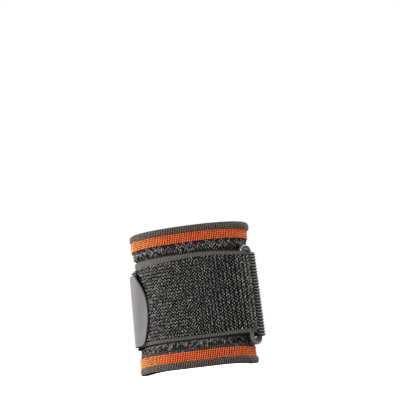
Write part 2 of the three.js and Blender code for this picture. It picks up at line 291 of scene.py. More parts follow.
@dataclass(frozen=True)
class WebbingFinish:
    """Woven elastic: fine weft lines across it, a slanted twill and an uneven tone.

    A webbing with a rib pitch also has painted shade in the valleys between its ribs, and painted shade where
    little light reaches, from an ambient occlusion node in its colour.
    """

    name: str
    colour: Colour
    weft: float = 0.62
    twill: float = 0.75
    twill_deg: float = 38.0
    contrast: float = 0.45
    speckle: float = 420.0
    speckle_power: float = 1.5
    speckled: float = 0.5
    depth: float = 0.12
    rib: float = 0.0
    rib_power: float = 2.4
    valley: float = 0.05
    shade_reach: float = 8.0
    shade_power: float = 2.3
    shaded: float = 0.03

    def material(self) -> Material:
        """Makes the webbing's material.

        Returns:
            The material.
        """
        finish = Finish(self.name)
        cloth = finish.cloth_space()
        turn = (0.0, 0.0, math.radians(self.twill_deg))
        slant = finish.bench.add("ShaderNodeMapping", {"Vector": cloth, "Rotation": turn})
        lines = finish.wave(cloth, "X", 1.0 / self.weft)
        twill = finish.wave(slant.outputs["Vector"], "Y", 1.0 / self.twill)
        weave = finish.math("MULTIPLY", lines, finish.math("MULTIPLY_ADD", twill, 0.6))
        patches = finish.noise(finish.object_space(), self.speckle)
        pale, deep = scaled(self.colour, 1 + self.contrast), scaled(self.colour, 1 - self.contrast)
        woven = finish.blend(weave, deep, pale)
        patches = finish.math("POWER", patches, self.speckle_power)
        colour = finish.blend(patches, woven, scaled(self.colour, self.speckled))
        if self.rib:
            # Painted shade: the colour darkens into the valleys between the ribs, and where little light
            # reaches.
            ridge = finish.math("POWER", finish.wave(cloth, "Y", 1.0 / self.rib), self.rib_power)
            colour = finish.blend(ridge, scaled(self.colour, self.valley), colour)
            reach = {"Distance": self.shade_reach * MM}
            lit = finish.bench.add("ShaderNodeAmbientOcclusion", reach).outputs["AO"]
            lit = finish.math("POWER", lit, self.shade_power)
            colour = finish.blend(lit, scaled(self.colour, self.shaded), colour)
        finish.set(Base_Color=colour, Roughness=0.85, Specular_IOR_Level=0.08)
        finish.set(Normal=finish.bump(weave, 0.7, self.depth))
        return finish.material


@dataclass(frozen=True)
class PlasticFinish:
    """Moulded plastic: a soft gloss with fine unevenness and faint handling marks."""

    name: str
    colour: Colour
    roughness: float
    gloss: float = 0.5
    mottling: float = 0.1
    grain: float = 900.0
    grain_depth: float = 0.02
    marks: float = 90.0
    marks_spread: float = 0.15
    marks_gloss: float = 0.07

    def material(self) -> Material:
        """Makes the plastic's material.

        Returns:
            The material.
        """
        finish = Finish(self.name)
        place = finish.object_space()
        grain = finish.noise(place, self.grain)
        pale, deep = scaled(self.colour, 1 + self.mottling), scaled(self.colour, 1 - self.mottling)
        colour = finish.blend(grain, deep, pale)
        rough = finish.math("MULTIPLY_ADD", finish.noise(place, self.marks, 4.0), self.marks_spread)
        rough.node.inputs[SUM_THIRD].default_value = self.roughness - self.marks_gloss
        finish.set(Base_Color=colour, Roughness=rough, Specular_IOR_Level=self.gloss)
        finish.set(Normal=finish.bump(grain, 0.4, self.grain_depth))
        return finish.material


@dataclass(frozen=True)
class FloorFinish:
    """Pale studio floor: it looks white, and throws less light back up than it shows."""

    name: str = "studio_floor"
    seen: Colour = (0.88, 0.88, 0.88)
    bounced: Colour = (0.5, 0.5, 0.5)
    grain: float = 60.0
    grain_tone: float = 0.99

    def material(self) -> Material:
        """Makes the floor's material.

        Returns:
            The material.
        """
        finish = Finish(self.name)
        seen = finish.bench.add("ShaderNodeLightPath").outputs["Is Camera Ray"]
        grain = finish.noise(finish.object_space(), self.grain)
        pale = finish.blend(grain, scaled(self.seen, self.grain_tone), self.seen)
        finish.set(Base_Color=finish.blend(seen, self.bounced, pale), Roughness=0.8, Specular_IOR_Level=0.2)
        return finish.material


class Yarn(Enum):
    """The yarns of the knitted cuff and of the strap's pile."""

    HEM = YarnFinish("grey_hem_yarn", (0.1, 0.078, 0.067), sheen=0.6)
    STRIPE = YarnFinish(
        "orange_stripe_yarn",
        (0.97, 0.128, 0.03),
        spread=0.2,
        sheen=0.9,
        sheen_tint=(0.35, 1.0, 0.5),
        # The painted light colour is painted light: lighter and yellower on the -X side, where the key light
        # falls.
        faded=(0.8, 0.23, 0.05),
    )
    FLEX_DARK = YarnFinish("dark_flex_yarn", (0.02, 0.019, 0.018), spread=0.4, sheen=0.25)
    FLEX_LIGHT = YarnFinish("light_flex_yarn", (0.178, 0.157, 0.139), spread=0.6, sheen=0.8)
    FLEX_PLAIN = YarnFinish("plain_flex_yarn", (0.063, 0.051, 0.044), spread=0.4, sheen=0.3)
    # The pile is one yarn drawn as a dark copy and a light copy, standing for shade and light: the light one
    # is a painted highlight on the loops that stand highest.
    PILE = YarnFinish("pile_yarn", (0.015, 0.0147, 0.0141), spread=0.6)
    PILE_BRIGHT = YarnFinish("bright_pile_yarn", (0.3, 0.295, 0.283), spread=0.95)


class Ground(Enum):
    """The grounds of the knitted tube, numbered as its material slots are: outside first, then inside."""

    # Painted shade: the outside grounds are far darker than the inside ones of the same yarns, standing for
    # the shade between the stitches.
    HEM = KnitGroundFinish("hem_ground", (0.012, 0.011, 0.01))
    STRIPE = KnitGroundFinish("stripe_ground", (0.04, 0.005, 0.002))
    FLEX = KnitGroundFinish("flex_ground", (0.01, 0.0097, 0.0094))
    TUBE = KnitGroundFinish("tube_ground", (0.04, 0.037, 0.035))
    HEM_INSIDE = KnitGroundFinish("hem_inside", (0.12, 0.105, 0.096))
    STRIPE_INSIDE = KnitGroundFinish("stripe_inside", (0.62, 0.1, 0.03))
    FLEX_INSIDE = KnitGroundFinish("flex_inside", (0.06, 0.056, 0.053))
    TUBE_INSIDE = KnitGroundFinish("tube_inside", (0.085, 0.079, 0.074))


STRAP_WIDTH = 48.0
STRAP_RIBS = 28


class Webbing(Enum):
    """The faces of the strap, numbered as its material slots are."""

    RIBBED = WebbingFinish(
        "ribbed_back", (0.38, 0.369, 0.35), twill=0.9, contrast=0.5, rib=STRAP_WIDTH / STRAP_RIBS
    )
    SELVEDGE = WebbingFinish(
        "plain_selvedge", (0.092, 0.089, 0.083), weft=0.9, twill=1.3, contrast=0.9, speckle=1300.0
    )
    # Painted shade: the ground between the pile's loops is near black, far darker than the selvedges of the
    # same webbing.
    PILE_GROUND = WebbingFinish("pile_ground", (0.005, 0.0049, 0.0048))
    BARE_FOLD = WebbingFinish("bare_fold", (0.03, 0.029, 0.0275), weft=0.9, twill=1.3, contrast=0.9)


RING_PLASTIC = PlasticFinish("ring_plastic", (0.05, 0.0475, 0.045), roughness=0.2, gloss=1.0)
HOOK_PLASTIC = PlasticFinish(
    "hook_plastic", (0.115, 0.111, 0.118), roughness=0.85, gloss=0.06, mottling=0.4, grain=1300.0
)


@dataclass
class CuffForm:
    """The oval that the cuff and the strap follow: it leans a little and widens towards its upper rim."""

    height: float = 80.0
    half_width: float = 31.2
    half_depth: float = 21.5
    oval_power: float = 2.2
    taper: float = 0.029
    lean: float = 2.8
    border_shift: float = -0.5
    rim_arch: float = 1.3
    arch_from: float = 5.0
    hem_height: float = 4.0
    edge_to_strap: float = 15.2
    border_ends: float = 10.0
    hem_out: float = 3.4
    hem_rise: float = 1.4

    def __post_init__(self) -> None:
        """Finds where the form stands in the frame, from the cuff's own box."""
        self.origin = np.zeros(3)
        _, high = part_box("knit_cuff")
        top = self.height - self.hem_rise
        reach = [self.place(0.0, self.hem_out, top)[0], self.place(0.25, self.hem_out, top)[1]]
        self.origin = np.array([high.x / MM - reach[0], high.y / MM - reach[1], 0.0])

    def plan(self, turn: Reals, out: Reals) -> np.ndarray:
        """A point of the plan at mid height.

        Args:
            turn: the share of a turn, 0 on the +X side and 0.25 on the +Y side.
            out: the distance out from the strap's seat.

        Returns:
            The point's x and y.
        """
        angle = 2 * np.pi * np.asarray(turn, float)
        cosine, sine = np.cos(angle), np.sin(angle)
        x = np.sign(cosine) * np.abs(cosine) ** (2 / self.oval_power)
        y = np.sign(sine) * np.abs(sine) ** (2 / self.oval_power)
        slope = self.oval_power - 1
        normal_x = np.sign(x) * np.abs(x) ** slope / self.half_width
        normal_y = np.sign(y) * np.abs(y) ** slope / self.half_depth
        normal = unit(np.stack([normal_x, normal_y], axis=-1))
        seat = np.stack([x * self.half_width, y * self.half_depth], axis=-1)
        return seat + normal * np.asarray(out, float)[..., None]

    def outwards(self, turn: Reals) -> np.ndarray:
        """The unit directions out from the seat at turns, in plan."""
        return self.plan(turn, 1.0) - self.plan(turn, 0.0)

    def settle(self, plan: np.ndarray, height: Reals) -> np.ndarray:
        """Moves a plan point to its height: the taper, the lean, the borders' shift and the lower rim's arch.

        Args:
            plan: the point's x and y.
            height: its height over the floor, before the arch.

        Returns:
            The point in the frame of the solids, in millimetres.
        """
        height = np.asarray(height, float)
        rise = height / self.height
        from_rim = np.minimum(height, self.height - height)
        size = 1 + self.taper * (rise - 0.5)
        border = smoothstep(from_rim, self.hem_height - 1, self.hem_height + 1)
        border = border * smoothstep(-from_rim, -self.edge_to_strap, -self.border_ends)
        shift = self.lean * (rise - 0.5) + self.border_shift * border
        arch = self.rim_arch * smoothstep(np.abs(plan[..., 1]), self.arch_from, self.half_depth)
        x = plan[..., 0] * size + shift
        y = plan[..., 1] * size
        z = height + arch * (1 - rise)
        return np.stack(np.broadcast_arrays(x, y, z), axis=-1) + self.origin

    def place(self, turn: Reals, out: Reals, height: Reals) -> np.ndarray:
        """The settled point at a turn, a distance out and a height."""
        return self.settle(self.plan(turn, out), height)


@dataclass
class CuffOval:
    """The oval a set distance out from the strap's seat, measured by length from the +X side."""

    form: CuffForm
    out: float
    divisions: int = 1440

    def __post_init__(self) -> None:
        """Measures the oval."""
        self.turns = np.linspace(0.0, 1.0, self.divisions + 1)
        steps = np.linalg.norm(np.diff(self.form.plan(self.turns, self.out), axis=0), axis=1)
        self.lengths = np.concatenate([[0.0], np.cumsum(steps)])
        self.length = float(self.lengths[-1])

    def turn_at(self, distance: Reals) -> np.ndarray:
        """The turns at distances along the oval."""
        whole = np.floor(np.asarray(distance, float) / self.length)
        return whole + np.interp(distance - whole * self.length, self.lengths, self.turns)

    def distance_at(self, turn: Reals) -> np.ndarray:
        """The distances along the oval at turns."""
        whole = np.floor(np.asarray(turn, float))
        return whole * self.length + np.interp(turn - whole, self.turns, self.lengths)


class Side(Enum):
    """The two sides of a wall."""

    OUTER = 0
    INNER = 1


@dataclass
class Wall:
    """A closed wall between two grids of points, by column and row.

    It is a hoop when its last column meets its first one.
    """

    outer: np.ndarray
    inner: np.ndarray
    along: np.ndarray
    across_outer: np.ndarray
    across_inner: np.ndarray
    hoop: bool = False
    outer_slots: np.ndarray | None = None
    inner_slots: np.ndarray | None = None

    def corner(self, side: Side, column: np.ndarray, row: np.ndarray) -> tuple[np.ndarray, np.ndarray]:
        """Finds one corner of many faces.

        Args:
            side: the side that the corner is on.
            column: the corner's columns.
            row: its rows.

        Returns:
            The numbers of the points, and their cloth coordinates.
        """
        on_inner = side is Side.INNER
        columns, rows = (self.inner if on_inner else self.outer).shape[:2]
        across = self.across_inner if on_inner else self.across_outer
        first = self.outer.shape[0] * self.outer.shape[1] if on_inner else 0
        column, row = np.broadcast_arrays(column, row)
        index = first + (column % columns) * rows + row
        return index.ravel(), np.stack([self.along[column], across[row]], axis=-1).reshape(-1, 2)

    def quads(
        self,
        sides: tuple[Side, ...],
        columns: tuple[np.ndarray, ...],
        rows: tuple[np.ndarray, ...],
        slots: np.ndarray | int,
    ) -> Faces:
        """Lists four-sided faces by their corners.

        Args:
            sides: the side of each of the four corners.
            columns: each corner's columns.
            rows: each corner's rows.
            slots: the faces' material slots.

        Returns:
            The faces' points, their cloth coordinates and their material slots.
        """
        corners = [self.corner(*one) for one in zip(sides, columns, rows)]
        points = np.stack([index for index, _ in corners], axis=-1)
        cloth = np.stack([place for _, place in corners], axis=1)
        return points, cloth, np.broadcast_to(slots, len(points)).ravel()

    def faces(self) -> Faces:
        """Lists all the wall's faces: its two sides, its two edges and the ends of an open wall.

        Returns:
            The faces' points, their cloth coordinates and their material slots.
        """
        outer, inner = Side.OUTER, Side.INNER
        columns, top, inner_top = len(self.outer), self.outer.shape[1] - 1, self.inner.shape[1] - 1
        spans = columns if self.hoop else columns - 1
        here = np.arange(spans)[:, None]
        there = here + 1
        ahead = (here, there, there, here)
        low = np.arange(top)[None, :]
        high = low + 1
        inner_low = np.arange(inner_top)[None, :]
        inner_high = inner_low + 1
        first = np.zeros((1, 1), int)
        rim, inner_rim, last = first + top, first + inner_top, first + columns - 1
        slots = np.zeros(top, int) if self.outer_slots is None else self.outer_slots
        inner_slots = np.zeros(inner_top, int) if self.inner_slots is None else self.inner_slots
        inner_slots = np.broadcast_to(inner_slots, (spans, inner_top)).ravel()
        inner_rows = (inner_low, inner_high, inner_high, inner_low)
        found = [
            self.quads((outer,) * 4, ahead, (low, low, high, high), np.tile(slots, spans)),
            self.quads((inner,) * 4, (here, here, there, there), inner_rows, inner_slots),
            self.quads((inner, inner, outer, outer), ahead, (first,) * 4, slots[0]),
            self.quads((outer, outer, inner, inner), ahead, (rim, rim, inner_rim, inner_rim), slots[-1]),
        ]
        if not self.hoop:
            found += [
                self.quads((outer, outer, inner, inner), (first,) * 4, (low, high, high, low), slots),
                self.quads((outer, inner, inner, outer), (last,) * 4, (low, low, high, high), slots),
            ]
        points, cloth, found_slots = (np.concatenate(part) for part in zip(*found))
        return points, cloth, found_slots

    def make(self, name: str, materials: list[Material]) -> Piece:
        """Makes the wall's object.

        Args:
            name: the piece's name.
            materials: its material slots.

        Returns:
            The object, with smooth faces and a cloth map.
        """
        points = np.concatenate([self.outer.reshape(-1, 3), self.inner.reshape(-1, 3)]) * MM
        quads, cloth, slots = self.faces()
        mesh = bpy.data.meshes.new(name)
        mesh.from_pydata(points.tolist(), [], quads.tolist())
        mesh.uv_layers.new(name="cloth").data.foreach_set("uv", cloth.astype(np.float32).ravel())
        mesh.polygons.foreach_set("material_index", slots.astype(np.int32))
        mesh.polygons.foreach_set("use_smooth", np.ones(len(quads), bool))
        for material in materials:
            mesh.materials.append(material)
        mesh.validate()
        mesh.update()
        piece = bpy.data.objects.new(name, mesh)
        bpy.context.collection.objects.link(piece)
        return piece


class YarnShape(Enum):
    """What a yarn is bent to at each guide point."""

    STITCH = "knit stitch"
    LOOP = "pile loop"


@dataclass
class YarnField:
    """Yarn set on guide points by Geometry Nodes: knit stitches or pile loops.

    The tree reads each guide point's outward and lengthwise directions, bends the yarn in its own inputs'
    sizes, turns every copy a little by its seed and keeps a tone for each one.
    """

    shape: YarnShape
    width: float
    length: float
    height: float
    yarn_radius: float
    twist_deg: float
    tilt_deg: float
    size_spread: float = 0.08
    seed: int = 11
    yarn_sides: int = 5
    leg_steps: int = 3
    loop_steps: int = 6
    foot_deg: float = 35.0
    leg_start: Triple = (0.05, -0.62, -1.0)
    leg_middle: Triple = (0.13, 0.0, 2.6)
    leg_end: Triple = (0.24, 0.6, -1.0)
    arch_size: Triple = (0.5, 0.5, 0.64)
    arch_lift: Triple = (0.0, 0.0, 0.36)

    def inputs(self) -> dict[str, tuple[str, float | int]]:
        """Lists the tree's named inputs.

        Returns:
            The socket type and the value of each input.
        """
        return {
            "Width": ("NodeSocketFloat", self.width * MM),
            "Length": ("NodeSocketFloat", self.length * MM),
            "Height": ("NodeSocketFloat", self.height * MM),
            "Yarn radius": ("NodeSocketFloat", self.yarn_radius * MM),
            "Twist": ("NodeSocketFloat", math.radians(self.twist_deg)),
            "Tilt": ("NodeSocketFloat", math.radians(self.tilt_deg)),
            "Size spread": ("NodeSocketFloat", self.size_spread),
            "Seed": ("NodeSocketInt", self.seed),
        }

    def tree(self, name: str) -> tuple[bpy.types.NodeTree, dict[str, str]]:
        """Builds the tree.

        Args:
            name: the tree's name.

        Returns:
            The tree and the identifier of each named input.
        """
        tree = bpy.data.node_groups.new(name, "GeometryNodeTree")
        tree.interface.new_socket("Guide", in_out="INPUT", socket_type="NodeSocketGeometry")
        identifiers = {}
        for label, (kind, _) in self.inputs().items():
            identifiers[label] = tree.interface.new_socket(label, in_out="INPUT", socket_type=kind).identifier
        material = tree.interface.new_socket("Yarn", in_out="INPUT", socket_type="NodeSocketMaterial")
        identifiers["Yarn"] = material.identifier
        tree.interface.new_socket("Yarn field", in_out="OUTPUT", socket_type="NodeSocketGeometry")
        bench = NodeBench(tree)
        given = bench.add("NodeGroupInput").outputs
        bent = self.stitch(bench, given) if self.shape is YarnShape.STITCH else self.loop(bench, given)
        sockets = {"Resolution": self.yarn_sides, "Radius": given["Yarn radius"]}
        profile = bench.add("GeometryNodeCurvePrimitiveCircle", sockets)
        sockets = {"Curve": bent, "Profile Curve": profile.outputs["Curve"], "Fill Caps": True}
        yarn = bench.add("GeometryNodeCurveToMesh", sockets)
        size = self.random(bench, given, 0, 1.0, given["Size spread"])
        sockets = {"Points": given["Guide"], "Instance": yarn.outputs["Mesh"]}
        sockets |= {"Rotation": self.turned(bench, given), "Scale": size}
        copies = bench.add("GeometryNodeInstanceOnPoints", sockets)
        tone = self.random(bench, given, 5, 0.5, 0.5)
        sockets = {"Geometry": copies.outputs["Instances"], "Name": "tone", "Value": tone}
        toned = bench.add("GeometryNodeStoreNamedAttribute", sockets, data_type="FLOAT", domain="INSTANCE")
        real = bench.add("GeometryNodeRealizeInstances", {"Geometry": toned.outputs["Geometry"]})
        smooth = bench.add("GeometryNodeSetShadeSmooth", {"Geometry": real.outputs["Geometry"]})
        sockets = {"Geometry": smooth.outputs["Geometry"], "Material": given["Yarn"]}
        dressed = bench.add("GeometryNodeSetMaterial", sockets)
        bench.add("NodeGroupOutput", {"Yarn field": dressed.outputs["Geometry"]})
        return tree, identifiers

    @staticmethod
    def random(bench: NodeBench, given: Sockets, shift: int, middle: float, spread: Any) -> Socket:
        """A random number for each guide point.

        Args:
            bench: the tree's bench.
            given: the tree's inputs.
            shift: added to the seed, so that each use has its own numbers.
            middle: the middle of the range.
            spread: how far the range reaches to each side, a number or a socket.

        Returns:
            The number's socket.
        """
        seed = bench.add("ShaderNodeMath", {0: given["Seed"], 1: float(shift)}, operation="ADD").outputs[0]
        low = bench.add("ShaderNodeMath", {0: middle, 1: spread}, operation="SUBTRACT").outputs[0]
        high = bench.add("ShaderNodeMath", {0: middle, 1: spread}, operation="ADD").outputs[0]
        sockets = {RANDOM_LOW: low, RANDOM_HIGH: high, RANDOM_SEED: seed}
        return bench.add("FunctionNodeRandomValue", sockets, data_type="FLOAT").outputs[RANDOM_RESULT]

    def turned(self, bench: NodeBench, given: Sockets) -> Socket:
        """The turn of each copy: out from the cloth, along its length, then a little at random.

        Args:
            bench: the tree's bench.
            given: the tree's inputs.

        Returns:
            The turn's socket.
        """
        settings = {"data_type": "FLOAT_VECTOR"}
        out = bench.add("GeometryNodeInputNamedAttribute", {"Name": "out"}, **settings).outputs["Attribute"]
        up = bench.add("GeometryNodeInputNamedAttribute", {"Name": "up"}, **settings).outputs["Attribute"]
        faced = bench.add("FunctionNodeAlignRotationToVector", {"Vector": out}, axis="Z")
        sockets = {"Rotation": faced.outputs[0], "Vector": up}
        upright = bench.add("FunctionNodeAlignRotationToVector", sockets, axis="Y", pivot_axis="Z")
        spreads = [given[label] for label in ("Tilt", "Tilt", "Twist")]
        angles = [self.random(bench, given, 1 + i, 0.0, spread) for i, spread in enumerate(spreads)]
        euler = bench.add("ShaderNodeCombineXYZ", dict(enumerate(angles))).outputs[0]
        loose = bench.add("FunctionNodeEulerToRotation", {0: euler}).outputs[0]
        sockets = {"Rotation": upright.outputs[0], "Rotate By": loose}
        return bench.add("FunctionNodeRotateRotation", sockets, rotation_space="LOCAL").outputs[0]

    @staticmethod
    def vector(bench: NodeBench, given: Sockets, shares: Triple) -> Socket:
        """A point at shares of the tree's width, length and height.

        Args:
            bench: the tree's bench.
            given: the tree's inputs.
            shares: the three shares.

        Returns:
            The point's socket.
        """
        names = ("Width", "Length", "Height")
        parts = [
            bench.add("ShaderNodeMath", {0: given[label], 1: share}, operation="MULTIPLY").outputs[0]
            for label, share in zip(names, shares)
        ]
        return bench.add("ShaderNodeCombineXYZ", dict(enumerate(parts))).outputs[0]

    def stitch(self, bench: NodeBench, given: Sockets) -> Socket:
        """A knit stitch: two legs that part upwards and pass behind the next course.

        Args:
            bench: the tree's bench.
            given: the tree's inputs.

        Returns:
            The curves' socket.
        """
        legs = bench.add("GeometryNodeJoinGeometry")
        marks = {"Start": self.leg_start, "Middle": self.leg_middle, "End": self.leg_end}
        for side in (-1.0, 1.0):
            sockets: dict[str, Any] = {"Resolution": self.leg_steps}
            for label, (over, onwards, rise) in marks.items():
                sockets[label] = self.vector(bench, given, (over * side, onwards, rise))
            leg = bench.add("GeometryNodeCurveQuadraticBezier", sockets)
            bench.tree.links.new(leg.outputs["Curve"], legs.inputs["Geometry"])
        return legs.outputs["Geometry"]

    def loop(self, bench: NodeBench, given: Sockets) -> Socket:
        """A pile loop: an arch across the cloth's length, drawn in at its feet.

        Args:
            bench: the tree's bench.
            given: the tree's inputs.

        Returns:
            The curve's socket.
        """
        sockets = {"Resolution": self.loop_steps, "Radius": 1.0}
        sockets["Start Angle"] = math.radians(-self.foot_deg)
        sockets["Sweep Angle"] = math.radians(180 + 2 * self.foot_deg)
        arch = bench.add("GeometryNodeCurveArc", sockets, mode="RADIUS")
        stand = {"Geometry": arch.outputs["Curve"], "Rotation": (math.pi / 2, 0.0, math.pi / 2)}
        stood = bench.add("GeometryNodeTransform", stand)
        sockets = {"Geometry": stood.outputs["Geometry"]}
        sockets["Scale"] = self.vector(bench, given, self.arch_size)
        sockets["Translation"] = self.vector(bench, given, self.arch_lift)
        return bench.add("GeometryNodeTransform", sockets).outputs["Geometry"]

    def grow(self, name: str, points: np.ndarray, out: np.ndarray, up: np.ndarray, yarn: Yarn) -> Piece:
        """Sets the yarn on guide points and keeps the result as a plain mesh.

        Args:
            name: the piece's name.
            points: the guide points, in millimetres.
            out: the outward direction at each point.
            up: the lengthwise direction at each point.
            yarn: the yarn that the piece is made of.

        Returns:
            The piece's object.
        """
        mesh = bpy.data.meshes.new(f"{name}_guide")
        mesh.from_pydata((points * MM).tolist(), [], [])
        for label, vectors in (("out", out), ("up", up)):
            data = mesh.attributes.new(label, "FLOAT_VECTOR", "POINT").data
            data.foreach_set("vector", vectors.astype(np.float32).ravel())
        piece = bpy.data.objects.new(name, mesh)
        bpy.context.collection.objects.link(piece)
        tree, identifiers = self.tree(f"{name}_tree")
        modifier = piece.modifiers.new("yarn", "NODES")
        modifier.node_group = tree
        material = yarn.value.material()
        for label, (_, value) in self.inputs().items():
            modifier[identifiers[label]] = value
        modifier[identifiers["Yarn"]] = material
        made = piece.evaluated_get(bpy.context.evaluated_depsgraph_get())
        plain = bpy.data.meshes.new_from_object(made)
        piece.modifiers.clear()
        piece.data = plain
        plain.name = name
        return piece


def report(piece: Piece) -> None:
    """Logs a piece's name and its number of triangles."""
    LOG.info("%s: %d triangles", piece.name, sum(len(face.vertices) - 2 for face in piece.data.polygons))


@dataclass(frozen=True)
class CuffRow:
    """One row of the cuff's wall: its rise from a rim, its two faces and its share of the zigzag."""

    rise: float
    outer: float
    inner: float
    wave: float


@dataclass(frozen=True)
class Course:
    """One round of stitches: its rise from a rim and its yarn, or none where the zigzag chart gives it."""

    rise: float
    yarn: Yarn | None


@dataclass
class KnitCuff:
    """The knitted tube: its ground wall and the stitches of its hems, stripes and flex zones."""

    form: CuffForm
    wales: int = 180
    teeth: int = 40
    swing: float = 1.3
    sunk: float = 0.3
    rows: tuple[CuffRow, ...] = (
        CuffRow(0.0, 2.5, 1.3, 0.0),
        CuffRow(0.5, 3.15, 0.65, 0.0),
        CuffRow(1.4, 3.4, 0.4, 0.0),
        CuffRow(3.1, 3.4, 0.4, 0.0),
        CuffRow(4.0, 2.7, 0.4, 0.0),
        CuffRow(9.4, 2.6, 0.3, 0.0),
        CuffRow(10.0, 1.9, 0.0, 0.0),
        CuffRow(12.0, 1.3, -0.7, 1.0),
        CuffRow(12.8, 2.0, -1.0, 1.0),
        CuffRow(13.6, 0.7, -1.3, 1.0),
        CuffRow(15.2, 0.0, -2.0, 0.0),
    )
    ridge: float = 12.8
    hem_courses: int = 4
    stripe_courses: int = 5
    flex_courses: int = 6
    hem_low: float = 0.3
    hem_top: float = 4.0
    stripe_top: float = 9.4
    flex_top: float = 15.2
    rim_round: float = 1.0
    rim_steps: int = 5
    wall_step: float = 0.4
    plain_from: float = 20.0
    plain_to: float = 60.0
    plain_rows: int = 7
    inner_plain_rows: tuple[float, ...] = (30.0, 50.0)
    inner_rib: float = 0.12
    sunk_from: float = 0.8
    loose_stitches: float = 0.22
    loose_reach: float = 2.2
    zigzag_depth: float = 2.6
    scallop_depth: float = 0.6
    point_rise: float = 0.4
    plain_depth: float = 1.4
    lowest_rise: float = 0.02
    look_up: float = 0.5
    look_round: float = 0.4
    wall_middle: float = 0.6

    def __post_init__(self) -> None:
        """Measures the strap's seat, which spaces the wales."""
        self.seat = CuffOval(self.form, 0.0)

    def swing_at(self, wale: np.ndarray) -> np.ndarray:
        """How far the zigzag stands from its middle at a wale."""
        tooth = wale * self.teeth / self.wales
        return self.swing * (1 - 4 * np.abs(tooth - np.floor(tooth) - 0.5))

    def turn_at(self, wale: np.ndarray) -> np.ndarray:
        """The turn round the cuff at a wale."""
        return self.seat.turn_at(self.seat.length * wale / self.wales)

    def outer_at(self, wale: np.ndarray, rise: np.ndarray) -> np.ndarray:
        """The outer face's distance out from the seat, at a wale and a rise from a rim.

        Args:
            wale: the wale's number, in an array.
            rise: the rise from the nearer rim, in an array of the same size.

        Returns:
            The distances out.
        """
        outs = np.array([row.outer for row in self.rows])
        rises = np.array([row.rise for row in self.rows])
        waves = np.array([row.wave for row in self.rows])
        found = [np.interp(at, rises + waves * swing, outs) for at, swing in zip(rise, self.swing_at(wale))]
        return np.array(found)

    def tube(self) -> Piece:
        """Makes the tube's ground wall, a little under the stitches.

        Returns:
            The piece's object.
        """
        rim = np.linspace(0.0, self.rim_round, self.rim_steps)
        last = self.flex_top - self.wall_step / 2
        steps = np.arange(self.rim_round + self.wall_step, last, self.wall_step)
        edge = np.concatenate([rim, steps, [self.flex_top]])
        plain = np.linspace(self.plain_from, self.plain_to, self.plain_rows)
        heights = np.concatenate([edge, plain, (self.form.height - edge)[::-1]])
        rises = np.minimum(heights, self.form.height - heights)
        columns = np.arange(2 * self.wales) / 2
        turns = self.turn_at(columns)
        wale, rise = (grid.ravel() for grid in np.meshgrid(columns, rises, indexing="ij"))
        out = self.outer_at(wale, rise).reshape(len(columns), len(rises))
        out = out - self.sunk * smoothstep(rises, 0.0, self.sunk_from) * (rises < last)
        edge = np.array([row.rise for row in self.rows])
        inner_heights = np.concatenate([edge, self.inner_plain_rows, (self.form.height - edge)[::-1]])
        inner_rises = np.minimum(inner_heights, self.form.height - inner_heights)
        rib = self.inner_rib * (np.arange(len(columns)) % 2)
        inner = np.interp(inner_rises, edge, [row.inner for row in self.rows])[None, :] + rib[:, None]
        wall = Wall(
            outer=self.form.place(turns[:, None], out, heights[None, :]),
            inner=self.form.place(turns[:, None], inner, inner_heights[None, :]),
            along=self.seat.length * np.arange(len(columns) + 1) / len(columns),
            across_outer=heights,
            across_inner=inner_heights,
            hoop=True,
            outer_slots=self.zones(heights),
            inner_slots=self.zones(inner_heights) + len(Ground) // 2,
        )
        return wall.make("cuff_tube", [ground.value.material() for ground in Ground])

    def zones(self, heights: np.ndarray) -> np.ndarray:
        """Finds the zones of the bands between heights.

        Args:
            heights: the heights, rising.

        Returns:
            The outer material slot of each band.
        """
        middle = (heights[1:] + heights[:-1]) / 2
        rises = np.minimum(middle, self.form.height - middle)
        return np.digitize(rises, [self.hem_top, self.stripe_top, self.flex_top])

    def courses(self) -> list[Course]:
        """Lists the rounds of stitches from a rim to the strap.

        Returns:
            The rounds, from the rim on.
        """
        bands = (
            (self.hem_low, self.hem_top, self.hem_courses, Yarn.HEM),
            (self.hem_top, self.stripe_top, self.stripe_courses, Yarn.STRIPE),
            (self.stripe_top, self.flex_top, self.flex_courses, None),
        )
        found = []
        for low, high, count, yarn in bands:
            pitch = (high - low) / count
            found += [Course(low + pitch * (i + 0.5), yarn) for i in range(count)]
        return found

    def chart(self, wale: np.ndarray, rise: float, upper: bool) -> np.ndarray:
        """The yarn of each stitch of a flex course.

        Below the strap, light points hang over a plain band. Above it, a light zigzag runs between two
        rows of dark scallops. A share of the stitches shows the other yarn.

        Args:
            wale: the wales' numbers.
            rise: the course's rise from its rim.
            upper: whether the course is in the upper zone.

        Returns:
            The yarn's name for each wale.
        """
        over = rise - self.ridge - self.swing_at(wale)
        random = np.random.default_rng(int(rise * 100) + int(upper))
        if upper:
            every_other = (wale + np.floor(rise)) % 2 == 0
            light = (over > -self.zigzag_depth) & (rise < self.flex_top - self.scallop_depth) & every_other
        else:
            light = over > self.point_rise
        loose = random.random(len(wale)) < self.loose_stitches
        light = light ^ (loose & (np.abs(over) < self.loose_reach))
        plain = rise < self.ridge - self.plain_depth and not upper
        return np.where(light, Yarn.FLEX_LIGHT.name, Yarn.FLEX_PLAIN.name if plain else Yarn.FLEX_DARK.name)

